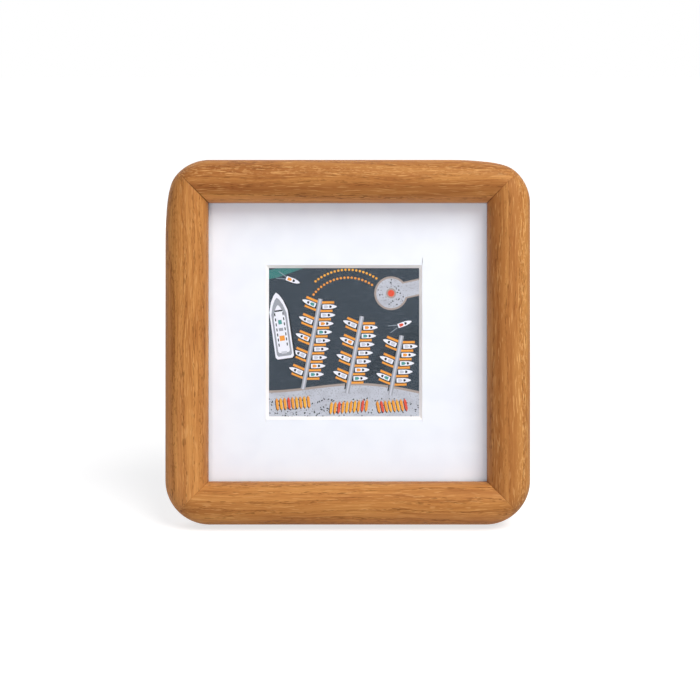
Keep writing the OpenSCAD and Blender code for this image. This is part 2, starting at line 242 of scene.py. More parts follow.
@dataclass(frozen=True)
class Stance:
    """How the upright frame leans back and its leg stands open, in millimetres and degrees."""

    lean: float = 12.0
    turn_y: float = 20.5
    turn_z: float = 1.5
    stand_y: float = -19.6224
    pin_y: float = 24.4
    pin_z: float = 128.0
    leg_open: float = 24.0

    def of_frame(self) -> Matrix:
        """Gives the matrix from upright millimetres to the world.

        Returns:
            The matrix, which leans the frame back over its lower edge.
        """
        return (
            Matrix.Translation(Vector((0, self.stand_y, self.turn_z)) * MM)
            @ Matrix.Rotation(math.radians(-self.lean), 4, "X")
            @ Matrix.Translation(Vector((0, -self.turn_y, -self.turn_z)) * MM)
            @ Matrix.Scale(MM, 4)
        )

    def of_pin(self) -> Matrix:
        """Gives the matrix from millimetres round the hinge pin to the world."""
        return self.of_frame() @ Matrix.Translation(Vector((0, self.pin_y, self.pin_z)))

    def of_leg(self) -> Matrix:
        """Gives the matrix from millimetres round the pin, leg folded, to the open leg."""
        return self.of_pin() @ Matrix.Rotation(math.radians(self.leg_open), 4, "X")

    def turned(self, towards: tuple[float, float, float]) -> Vector:
        """Gives a direction of the upright frame as a direction in the world."""
        return (self.of_frame().to_3x3().normalized() @ Vector(towards)).normalized()


STANCE = Stance()


# Finishes


@dataclass(frozen=True)
class Finish:
    """A finish: a table of nodes round one Principled shader."""

    name: str
    tilt: float = -STANCE.lean

    def rows(self) -> dict[str, tuple | float]:
        """Gives the rows of nodes, and the numbers that are the same all over."""
        return {}

    def material(self) -> bpy.types.Material:
        """Makes the material, whose patterns lie in millimetres along the tilted piece.

        A number is set on the shader's input that it is named for, and a result is linked to it.

        Returns:
            The material.
        """
        made = bpy.data.materials.new(self.name)
        made.use_nodes = True
        shader = made.node_tree.nodes["Principled BSDF"]
        rows = self.rows()
        for name in [name for name, row in rows.items() if isinstance(row, float)]:
            shader.inputs[name].default_value = rows.pop(name)
        lie = {"Rotation": (math.radians(self.tilt), 0, 0), "Scale": (MM, MM, MM)}
        have = add_nodes(made.node_tree, {
            "place": ("ShaderNodeTexCoord",),
            "space": ((MAPPING, {"vector_type": "TEXTURE"}), {"Vector": "place:Object", **lie}),
            **rows,
        }, {})
        for name in [name for name in have if name in shader.inputs]:
            made.node_tree.links.new(have[name], shader.inputs[name])
        return made


@dataclass(frozen=True)
class OiledOak(Finish):
    """White oak, moulded, sanded and oiled.

    It gives the eye a soft golden brown with hardly any gloss. Dark pore dashes crowd in one band
    of each year ring, some rails and bands are warmer or paler than others, ray curls catch the
    light along the rounds, and glue leaves a thin dark line in each mitre. Some bands are painted
    shade and painted light: warm bands on the right rail's inner side and the top rail's lower
    slope are painted shade, and pale bands on the bottom rail's outer side and by the top rail's
    sight edge are painted light.
    """

    pale: str = "#cb8e4e"
    body: str = "#b87a40"
    deep: str = "#96592b"
    # The warm colour also paints shade, and the sap colour paints light, in some bands of the rails
    warm_and_shade: str = "#8c4f27"
    sap_and_painted_light: str = "#d8935a"
    pore: str = "#6b3f18"
    ray: str = "#dfa868"
    glue: str = "#3d2311"
    # Year rings of fast-grown oak, and slow changes of tone in the board
    ring: float = 5.4
    broad: tuple = (80.0, 5.0, 8.0)
    streak: tuple = (34.0, 0.95, 2.0)
    # Real fibres are hair thin and real pores 0.25 mm wide, which is half a pixel of the
    # render, so both are drawn as bundles about twice as wide
    fibre: tuple = (9.0, 0.4, 0.9)
    pores: tuple = (3.6, 0.42, 0.8)
    flecks: tuple = (8.0, 0.6, 1.1)
    rays: tuple = (2.4, 1.0, 1.2)

    def rows(self) -> dict[str, tuple | float]:
        """Gives the rings, streaks, pores, flecks, rays and mitre line.

        Returns:
            The rows, with the thin oil's index and its faint gloss.
        """
        written = ("board", "figure", "joint", "plank")
        return {
            **{name: ((ATTRIBUTE, {"attribute_name": name}),) for name in written},
            # The grain wanders a few millimetres on its way along the board
            **patterns("board:Vector", wander=((60.0, 16.0, 16.0), 3.1, 1.0),
                       curl=(self.rays, 67.4)),
            "swing": ((VECTOR, {"operation": "MULTIPLY_ADD"}),
                      "wander:Color", (0.0, 6.0, 6.0), "board:Vector"),
            **patterns("swing", broad=(self.broad, 0.0), streak=(self.streak, 11.3),
                       fibre=(self.fibre, 23.9), pore=(self.pores, 37.7, 1.0),
                       fleck=(self.flecks, 51.2, 1.0)),
            # Year rings slant through the board; the early wood of each is its porous band
            "slant": ((VECTOR, {"operation": "DOT_PRODUCT"}), "swing", (0.0, 1.0, 0.45)),
            "rings": ("DIVIDE", "slant", self.ring),
            "waved": ("MULTIPLY_ADD", "broad", 2.4, "rings"),
            "year": ("FRACT", "waved"),
            "early": (SOFT, "year", 0.45, 0.95),
            # Tone of the wood
            "wide": ("MULTIPLY", "broad", 0.46),
            "mid": ("MULTIPLY_ADD", "streak", 0.36, "wide"),
            "fine": ("MULTIPLY_ADD", "fibre", 0.18, "mid"),
            "tone": ("MULTIPLY_ADD", "early", -0.03, "fine"),
            "low": (SPREAD, "tone", 0.34, 0.47),
            "high": (SPREAD, "tone", 0.47, 0.6),
            "brown": (MIX, "low", self.deep, self.body),
            "golden": (MIX, "high", "brown", self.pale),
            # Bands of warmer wood where the tone attribute is positive, of paler wood where it is
            # negative;
            # some warm bands are painted shade and some pale bands painted light
            "oiled": (MIX, "plank:Fac", "golden", self.warm_and_shade),
            "drained": ("MULTIPLY", "plank:Fac", -1.0),
            "banded": (MIX, "drained", "oiled", self.sap_and_painted_light),
            # Pale flecks, dark pores, ray curls (pale where figure is positive, else dark)
            "marks": (SOFT, "fleck", 0.59, 0.68),
            "bright": ("MULTIPLY_ADD", "figure:Fac", 0.7, 0.42),
            "spots": ("MULTIPLY", "marks", "bright"),
            "pits": (SOFT, "pore", 0.53, 0.62),
            "crowd": ("MULTIPLY_ADD", "early", 0.55, 0.06),
            "pores": ("MULTIPLY", "pits", "crowd"),
            "curls": (SOFT, "curl", 0.54, 0.62, 0.0, 0.6),
            "shine": ("MULTIPLY", "curls", "figure:Fac"),
            "shade": ("MULTIPLY", "shine", -1.0),
            "flecked": (MIX, "spots", "banded", self.ray),
            "pored": (MIX, "pores", "flecked", self.pore),
            "rayed": (MIX, "shine", "pored", self.ray),
            "shaded": (MIX, "shade", "rayed", self.pore),
            "seam": (SPREAD, "joint:Fac", 0.08, 0.4, 0.8, 0.0),
            "Base Color": (MIX, "seam", "shaded", self.glue),
            "Roughness": (SOFT, "streak", 0.3, 0.7, 0.46, 0.62),
            # Pores lie 0.07 mm deep under the oil
            "sunk": ("MULTIPLY", "pores", -1.0),
            "height": ("MULTIPLY_ADD", "fibre", 0.3, "sunk"),
            "Normal": (BUMP, {"Distance": 0.07 * MM, "Height": "height"}),
            "IOR": 1.48,
            "Specular IOR Level": 0.13,
        }


@dataclass(frozen=True)
class PictureGlass(Finish):
    """Float picture glass with a coating against glare.

    It gives the eye a clear sheet. Float glass has an index of 1.52, and the coating leaves it the
    gloss of 1.22, so only a flat glance from the side shows it.
    """

    coated: float = 1.22
    tint: str = "#fefeff"

    def material(self) -> bpy.types.Material:
        """Makes glass that is seen straight through, with a gloss on its near face alone.

        Returns:
            The material.
        """
        made = bpy.data.materials.new(self.name)
        made.use_nodes = True
        made.node_tree.nodes.clear()
        add_nodes(made.node_tree, {
            "clear": ("ShaderNodeBsdfTransparent", self.tint),
            "gloss": ("ShaderNodeBsdfAnisotropic", "#ffffff", 0.02),
            "angle": ("ShaderNodeFresnel", self.coated),
            "side": ("ShaderNodeNewGeometry",),
            "ahead": ("SUBTRACT", 1.0, "side:Backfacing"),
            "share": ("MULTIPLY", "angle", "ahead"),
            "both": ("ShaderNodeMixShader", "share", "clear", "gloss"),
            "out": ("ShaderNodeOutputMaterial", "both"),
        }, {})
        return made


@dataclass(frozen=True)
class CottonMatBoard(Finish):
    """White cotton mat board, paper faced, its window cut with a blade.

    It gives the eye a flat cool white without gloss, with the warmer white of the core where
    the blade has cut. The tooth of pressed paper is 0.15 mm across, too fine to show, and is
    drawn 0.5 mm across.
    """

    face: str = "#f4f8fc"
    shade: str = "#f1f5fa"
    pulp: str = "#fefbf7"
    tooth: tuple = (0.5, 0.5, 0.5)
    cloud: tuple = (14.0, 14.0, 14.0)

    def rows(self) -> dict[str, tuple | float]:
        """Gives the paper's tooth, its slight clouding and the cut core.

        Returns:
            The rows, with the matte surface.
        """
        return {
            **patterns("space", tooth=(self.tooth, 5.0, 3.0), cloud=(self.cloud, 9.0, 1.0)),
            "share": (SOFT, "cloud", 0.35, 0.7),
            "core": ((ATTRIBUTE, {"attribute_name": "core"}),),
            "paper": (MIX, "share", self.face, self.shade),
            "Base Color": (MIX, "core:Fac", "paper", self.pulp),
            "Normal": (BUMP, {"Distance": 0.012 * MM, "Height": "tooth"}),
            "Roughness": 0.9,
            "Specular IOR Level": 0.1,
        }


@dataclass(frozen=True)
class InkjetPrint(Finish):
    """Pigment inkjet print on matte paper.

    It gives the eye flat inks, ripples on the printed water, specks and stains on the printed
    stone. The printer's dots are too fine to show, and the specks stand for them at 0.55 mm.
    """

    specks: tuple = (0.55, 0.55, 0.55)
    ripple: tuple = (3.2, 3.2, 0.7)
    stain: tuple = (9.0, 9.0, 5.0)

    def rows(self) -> dict[str, tuple | float]:
        """Gives the inks and the mottle that each kind of ground carries.

        Returns:
            The rows, with the ink's sheen.
        """
        return {
            "inks": ((ATTRIBUTE, {"attribute_name": "ink"}),),
            "water": ("GREATER_THAN", "inks:Alpha", 0.75),
            "ground": ("GREATER_THAN", "inks:Alpha", 0.25),
            "stone": ("SUBTRACT", "ground", "water"),
            **patterns("space", ripple=(self.ripple, 4.0, 3.0), specks=(self.specks, 8.0),
                       stain=(self.stain, 15.0, 3.0)),
            "lines": (SOFT, "ripple", 0.45, 0.75, 0.0, 0.22),
            "dots": (SOFT, "specks", 0.56, 0.7, 0.0, 0.55),
            "pools": (SOFT, "stain", 0.4, 0.7, 0.0, 0.3),
            "waves": ("MULTIPLY", "lines", "water"),
            "grit": ("MULTIPLY", "dots", "stone"),
            "patch": ("MULTIPLY", "pools", "stone"),
            "rippled": (MIX, "waves", "inks", "#6d7a84"),
            "stained": (MIX, "patch", "rippled", "#8f9098"),
            "Base Color": (MIX, "grit", "stained", "#3d4148"),
            "Roughness": 0.62,
            "Specular IOR Level": 0.25,
        }


@dataclass(frozen=True)
class PulpBoard(Finish):
    """Board pressed from wood or paper pulp: tempered hardboard, or grey backing card.

    It gives the eye an even, close face with short fibres lying every way and soft clouds. A real
    fibre is 0.1 mm wide and is drawn 0.35 mm wide so that it shows.
    """

    face: str = "#6a4529"
    thread: str = "#8a6240"
    dark: str = "#4c2f1b"
    rough: float = 0.5
    fibre: tuple = (2.4, 0.5, 0.35)
    cloud: tuple = (16.0, 16.0, 16.0)
    speck: tuple = (0.9, 0.9, 0.9)

    def rows(self) -> dict[str, tuple | float]:
        """Gives the fibres both ways, the clouds and the dark specks.

        Returns:
            The rows, with the board's sheen.
        """
        return {
            **patterns("space", level=(self.fibre, 2.0), upright=(self.fibre[::-1], 7.0),
                       cloud=(self.cloud, 12.0), speck=(self.speck, 19.0, 1.0)),
            "fibres": ("MAXIMUM", "level", "upright"),
            "clouds": (SOFT, "cloud", 0.3, 0.7, 0.0, 0.5),
            "threads": (SOFT, "fibres", 0.56, 0.72, 0.0, 0.6),
            "specks": (SOFT, "speck", 0.64, 0.72, 0.0, 0.6),
            "clouded": (MIX, "clouds", self.face, self.dark),
            "pressed": (MIX, "threads", "clouded", self.thread),
            "Base Color": (MIX, "specks", "pressed", self.dark),
            "Normal": (BUMP, {"Distance": 0.03 * MM, "Height": "fibres"}),
            "Roughness": self.rough,
            "Specular IOR Level": 0.35,
        }


@dataclass(frozen=True)
class PlatedSteel(Finish):
    """Steel strip or wire, pressed to shape and barrel plated.

    It gives the eye bright metal, slightly clouded where the plating is thinner. The barrel's
    scuffs are 0.05 mm wide and are drawn 0.25 mm wide so that they show.
    """

    metal: str = "#bebcb5"
    dull: str = "#a9a7a0"
    rough: float = 0.3
    cloud: tuple = (2.6, 2.6, 2.6)
    scuff: tuple = (0.25, 1.0, 3.0)

    def rows(self) -> dict[str, tuple | float]:
        """Gives the clouding and the scuffs.

        Returns:
            The rows, with bare metal's full reflection.
        """
        return {
            **patterns("space", cloud=(self.cloud, 6.0, 3.0), scuff=(self.scuff, 13.0)),
            "thin": (SOFT, "cloud", 0.42, 0.72, 0.0, 0.7),
            "Base Color": (MIX, "thin", self.metal, self.dull),
            "Roughness": ("MULTIPLY_ADD", "thin", 0.18, self.rough),
            "Normal": (BUMP, {"Distance": 0.012 * MM, "Height": "scuff"}),
            "Metallic": 1.0,
        }


class Finishes:
    """Every finish of the object, made once; the leg's own lie along the open leg."""

    def __init__(self) -> None:
        """Makes the materials."""
        leg = STANCE.leg_open - STANCE.lean
        grey = {"face": "#8f8f8a", "thread": "#a9a9a3", "dark": "#6f706c", "rough": 0.85}
        zinc = {"metal": "#b4bcc4", "dull": "#8b949c", "rough": 0.34}
        brass = {"metal": "#c8a052", "dull": "#9a7836", "rough": 0.28}
        steel = {"metal": "#9ea1a4", "dull": "#74777a", "rough": 0.4}
        self.oak = OiledOak("oiled_oak").material()
        self.glass = PictureGlass("coated_picture_glass").material()
        self.mat = CottonMatBoard("cotton_mat_board").material()
        self.print = InkjetPrint("inkjet_on_matte_paper").material()
        self.card = PulpBoard("grey_pulp_card", **grey).material()
        self.board = PulpBoard("tempered_hardboard").material()
        self.leg_board = PulpBoard("tempered_hardboard_leg", leg).material()
        self.nickel = PlatedSteel("barrel_nickel_plate").material()
        self.leg_nickel = PlatedSteel("barrel_nickel_plate_leg", leg).material()
        self.zinc = PlatedSteel("barrel_zinc_plate", **zinc).material()
        self.brass = PlatedSteel("barrel_brass_plate", **brass).material()
        self.steel = PlatedSteel("bright_drawn_steel", **steel).material()


# Geometry Nodes trees


def make_tree(
    name: str, inputs: dict[str, float | int], rows: dict[str, tuple]
) -> bpy.types.NodeTree:
    """Makes a Geometry Nodes tree with named inputs, ending in real geometry and its material.

    Args:
        name: The tree's name.
        inputs: The defaults of its inputs by name, apart from Geometry and Material.
        rows: Its nodes. They may name the inputs, and the last is the geometry.

    Returns:
        The tree.
    """
    tree = bpy.data.node_groups.new(name, "GeometryNodeTree")
    tree.interface.new_socket(name="Geometry", in_out="OUTPUT", socket_type="NodeSocketGeometry")
    for label, value in {"Geometry": None, **inputs, "Material": None}.items():
        kind = "NodeSocket" + {float: "Float", int: "Int"}.get(type(value), label)
        socket = tree.interface.new_socket(name=label, in_out="INPUT", socket_type=kind)
        if value is not None:
            socket.default_value = value
    given = add_node(tree, "NodeGroupInput")
    add_nodes(tree, {
        **rows,
        "plain": ("GeometryNodeRealizeInstances", list(rows)[-1]),
        "dressed": ("GeometryNodeSetMaterial", {"Geometry": "plain", "Material": "Material"}),
        "result": ("NodeGroupOutput", "dressed"),
    }, {socket.name: socket for socket in given.outputs})
    return tree


def grow(thing: bpy.types.Object, tree: bpy.types.NodeTree, values: dict[str, object]) -> None:
    """Runs a Geometry Nodes tree on an object and keeps the result as its plain mesh.

    Args:
        thing: The object whose mesh the tree starts from.
        tree: The tree.
        values: The inputs' values, by name.
    """
    modifier = thing.modifiers.new(tree.name, "NODES")
    modifier.node_group = tree
    for item in tree.interface.items_tree:
        if item.in_out == "INPUT" and item.name in values:
            modifier[item.identifier] = values[item.name]
    settle(thing)
    with opened(thing.data, outwards=True) as work:
        bmesh.ops.remove_doubles(work, verts=work.verts, dist=1e-7)


def seed_mesh(
    name: str, points: list, edges: list, columns: dict[str, list[float]]
) -> bpy.types.Mesh:
    """Makes the mesh that a tree starts from.

    Args:
        name: Its name.
        points: Its points.
        edges: Its edges.
        columns: The values of its point attributes, by name.

    Returns:
        The mesh.
    """
    mesh = bpy.data.meshes.new(name)
    mesh.from_pydata(points, edges, [])
    for label, values in columns.items():
        mesh.attributes.new(label, "FLOAT", "POINT").data.foreach_set("value", values)
    return mesh


def round_depth(name: str, radius: str, past: str) -> dict[str, tuple]:
    """Gives the rows of a quarter round's depth.

    Args:
        name: The result's name.
        radius: The input that holds the round's radius.
        past: The result that tells how far a point lies past the crown.

    Returns:
        The rows.
    """
    return {
        f"{name}_past": ("MAXIMUM", past, 0.0),
        f"{name}_past2": ("MULTIPLY", f"{name}_past", f"{name}_past"),
        f"{name}_r2": ("MULTIPLY", radius, radius),
        f"{name}_rest": ("SUBTRACT", f"{name}_r2", f"{name}_past2"),
        f"{name}_rest0": ("MAXIMUM", f"{name}_rest", 0.0),
        f"{name}_up": ("SQRT", f"{name}_rest0"),
        name: ("SUBTRACT", radius, f"{name}_up"),
    }


def moulded_rail_tree() -> bpy.types.NodeTree:
    """Makes the tree of one mitred, routed rail.

    It sweeps the section along the rail. Towards each end the outer edge follows the turned
    corner and the inner edge runs straight into the mitre, and the front takes the deeper of
    the routed outer round and the moulded inner round.

    Returns:
        The tree. Its mesh input is the closed section, with the point attributes inset, depth,
        square (0 follows the turned corner, 1 runs straight) and front.
    """
    read = ("run", "inset", "depth", "square", "front")
    return make_tree("moulded_rail", {
        "Length": 184.0, "Rail width": 21.4, "Corner radius": 22.4, "Front round": 10.6,
        "Inner round": 10.2, "Arris": 0.28, "Rings": 65,
    }, {
        "line": ("GeometryNodeMeshLine", {"Count": "Rings"}),
        "index": ("GeometryNodeInputIndex",),
        "last": ("SUBTRACT", "Rings", 1.0),
        "part": ("DIVIDE", "index", "last"),
        "both ways": ("MULTIPLY_ADD", "part", 2.0, -1.0),
        "marked": (STORE, {"Geometry": "line", "Name": "run", "Value": "both ways"}),
        "rail": (TO_CURVE, "marked"),
        "section": (TO_CURVE, "Geometry"),
        "solid": (SWEEP, {"Curve": "rail", "Profile Curve": "section", "Fill Caps": True}),
        **{name: (READ, {"Name": name}) for name in read},
        # Along the rail: even steps on the straight, then finer ones up to the mitre
        "half": ("MULTIPLY", "Length", 0.5),
        "straight": ("SUBTRACT", "half", "Corner radius"),
        "sense": ("SIGN", "run"),
        "out": ("ABSOLUTE", "run"),
        "twice": ("MULTIPLY", "out", 2.0),
        "early": ("MINIMUM", "twice", 1.0),
        "level": ("MULTIPLY", "early", "straight"),
        "late": ("SUBTRACT", "twice", 1.0),
        "late0": ("MAXIMUM", "late", 0.0),
        "left": ("SUBTRACT", 1.0, "late0"),
        "left1": ("POWER", "left", 1.7),
        "turn": ("SUBTRACT", 1.0, "left1"),
        "angle": ("MULTIPLY", "turn", math.pi / 4),
        # Plan place on the turned corner and on the straight mitre, and the blend of both
        "radius": ("SUBTRACT", "Corner radius", "inset"),
        "sine": ("SINE", "angle"),
        "cosine": ("COSINE", "angle"),
        "arc_x": ("MULTIPLY", "radius", "sine"),
        "arc_in": ("MULTIPLY", "radius", "cosine"),
        "arc_z": ("SUBTRACT", "Corner radius", "arc_in"),
        "mitre_x": ("MULTIPLY", "radius", "turn"),
        "round": ("SUBTRACT", 1.0, "square"),
        "ax": ("MULTIPLY", "arc_x", "round"),
        "bx": ("MULTIPLY_ADD", "mitre_x", "square", "ax"),
        "reach": ("ADD", "level", "bx"),
        "az": ("MULTIPLY", "arc_z", "round"),
        "z": ("MULTIPLY_ADD", "inset", "square", "az"),
        # Depth of the routed round, from the distance to the turned outline
        "ox": ("SUBTRACT", "reach", "straight"),
        "ox0": ("MAXIMUM", "ox", 0.0),
        "oz": ("SUBTRACT", "Corner radius", "z"),
        "ox2": ("MULTIPLY", "ox0", "ox0"),
        "o2": ("MULTIPLY_ADD", "oz", "oz", "ox2"),
        "away": ("SQRT", "o2"),
        "edge": ("SUBTRACT", "Corner radius", "away"),
        "outer_in": ("SUBTRACT", "Front round", "edge"),
        **round_depth("outer", "Front round", "outer_in"),
        # Depth of the moulded round, from the distance to the sight edge
        "crown": ("SUBTRACT", "Rail width", "Inner round"),
        "inner_in": ("SUBTRACT", "z", "crown"),
        **round_depth("inner", "Inner round", "inner_in"),
        "deeper": ("MAXIMUM", "outer", "inner"),
        # Eased arris at the mitre
        "to_mitre": ("SUBTRACT", "half", "reach"),
        "gap": ("SUBTRACT", "to_mitre", "z"),
        "joint": ("MULTIPLY", "gap", math.sqrt(0.5)),
        "near": ("SUBTRACT", "Arris", "joint"),
        "near0": ("MAXIMUM", "near", 0.0),
        "inwards": ("DIVIDE", "z", "Rail width"),
        "faded": ("MULTIPLY", "near0", "inwards"),
        "eased": ("MULTIPLY_ADD", "faded", 0.6, "deeper"),
        "back": ("SUBTRACT", 1.0, "front"),
        "kept": ("MULTIPLY", "depth", "back"),
        "y": ("MULTIPLY_ADD", "eased", "front", "kept"),
        "x": ("MULTIPLY", "reach", "sense"),
        "place": (COMBINE, "x", "y", "z"),
        "shaped": (PLACE, {"Geometry": "solid", "Position": "place"}),
    })


def turned_piece_tree() -> bpy.types.NodeTree:
    """Makes the tree of a turned piece, such as a screw, rivet or nail, set at several places.

    Returns:
        The tree. Its mesh input holds the half profile as edges, with the point attributes
        reach and height, and one loose point for each place, where the attribute spot is 1.
    """
    return make_tree("turned_piece", {
        "Sides": 32, "Crown height": 2.0, "Recess width": 0.0, "Recess span": 3.0,
        "Recess depth": 1.0,
    }, {
        **{name: (READ, {"Name": name}) for name in ("spot", "reach", "height", "angle")},
        "split": ("GeometryNodeSeparateGeometry", "Geometry", "spot"),
        "ring": ("GeometryNodeMeshCircle", {"Vertices": "Sides"}),
        "index": ("GeometryNodeInputIndex",),
        "part": ("DIVIDE", "index", "Sides"),
        "turn": ("MULTIPLY", "part", math.tau),
        "marked": (STORE, {"Geometry": "ring", "Name": "angle", "Value": "turn"}),
        "circle": (TO_CURVE, "marked"),
        "profile": (TO_CURVE, "split:Inverted"),
        "shell": (SWEEP, {"Curve": "circle", "Profile Curve": "profile"}),
        "cosine": ("COSINE", "angle"),
        "sine": ("SINE", "angle"),
        "x": ("MULTIPLY", "reach", "cosine"),
        "z": ("MULTIPLY", "reach", "sine"),
        "place": (COMBINE, "x", "height", "z"),
        "lathed": (PLACE, {"Geometry": "shell", "Position": "place"}),
        "sealed": ("GeometryNodeMergeByDistance", {"Geometry": "lathed", "Distance": 0.0005}),
        # The driver's second blade goes a little less deep, so that the floors of the two cuts
        # don't coincide
        "first": ("MULTIPLY", "Recess depth", 2.0),
        "second": ("MULTIPLY", "Recess depth", 1.84),
        "crown": (COMBINE, 0.0, "Crown height"),
        "high size": (COMBINE, "Recess width", "first", "Recess span"),
        "wide size": (COMBINE, "Recess span", "second", "Recess width"),
        "high blade": ("GeometryNodeMeshCube", "high size"),
        "wide blade": ("GeometryNodeMeshCube", "wide size"),
        "high cut": ("GeometryNodeTransform", {"Geometry": "high blade", "Translation": "crown"}),
        "wide cut": ("GeometryNodeTransform", {"Geometry": "wide blade", "Translation": "crown"}),
        "cut": (("GeometryNodeMeshBoolean", {"operation": "DIFFERENCE"}),
                {"Mesh 1": "sealed", "Mesh 2": ["high cut", "wide cut"]}),
        "wanted": ("GREATER_THAN", "Recess width", 0.0),
        "choice": ("GeometryNodeSwitch", "wanted", "sealed", "cut"),
        "copies": ("GeometryNodeInstanceOnPoints", {"Points": "split", "Instance": "choice"}),
    })


# The oak frame


@dataclass(frozen=True)
class RailWood:
    """How one rail turns, where it was cut from its board, what its wood shows, and where it is
    painted with shade and light.

    A band runs along the rail. It is given as the distance in from the outer edge, the width and
    the strength.
    """

    quarters: int
    along: float
    across: float
    # How much more one end is sanded, and how much the wood warms from end to end
    sanded: float
    drift: float
    # Bands of warmer wood, or paler where negative, some of them painted shade (warm) and painted
    # light (pale); bands of pale rays, or dark where negative
    warm_and_shade: tuple
    figure: tuple


class Side(Enum):
    """The four rails, in quarter turns from the bottom one."""

    # The pale band 3.5 mm in is painted light on the outer side, which faces down
    BOTTOM = RailWood(0, 3.0, 41.0, 0.0, -0.16, ((3.5, 3.5, -0.2), (10.0, 2.4, 0.22)),
                      ((1.2, 0.8, -0.6),))
    # The warm band 17.5 mm in is painted shade on the inner side, turned from the key lamp
    RIGHT = RailWood(1, 260.0, 7.0, 0.0, 0.0, ((9.0, 3.2, 0.34), (17.5, 4.8, 0.5)),
                     ((4.4, 2.4, 1.0), (13.5, 0.7, -0.5)))
    # The warm band 14.6 mm in is painted shade on the lower slope, and the pale band 20.2 mm in is
    # painted light by the sight edge, where the mat throws light back
    TOP = RailWood(2, 540.0, 71.0, 1.25, 0.18,
                   ((5.5, 5.0, 0.34), (14.6, 3.0, 0.62), (20.2, 1.8, -0.35)),
                   ((11.0, 1.0, -0.5), (6.0, 3.2, 0.55)))
    LEFT = RailWood(3, 830.0, 17.5, 1.2, -0.28, ((2.6, 1.4, -0.45), (8.6, 1.2, -0.16)),
                    ((5.4, 2.2, -0.62), (18.2, 0.8, -0.7)))


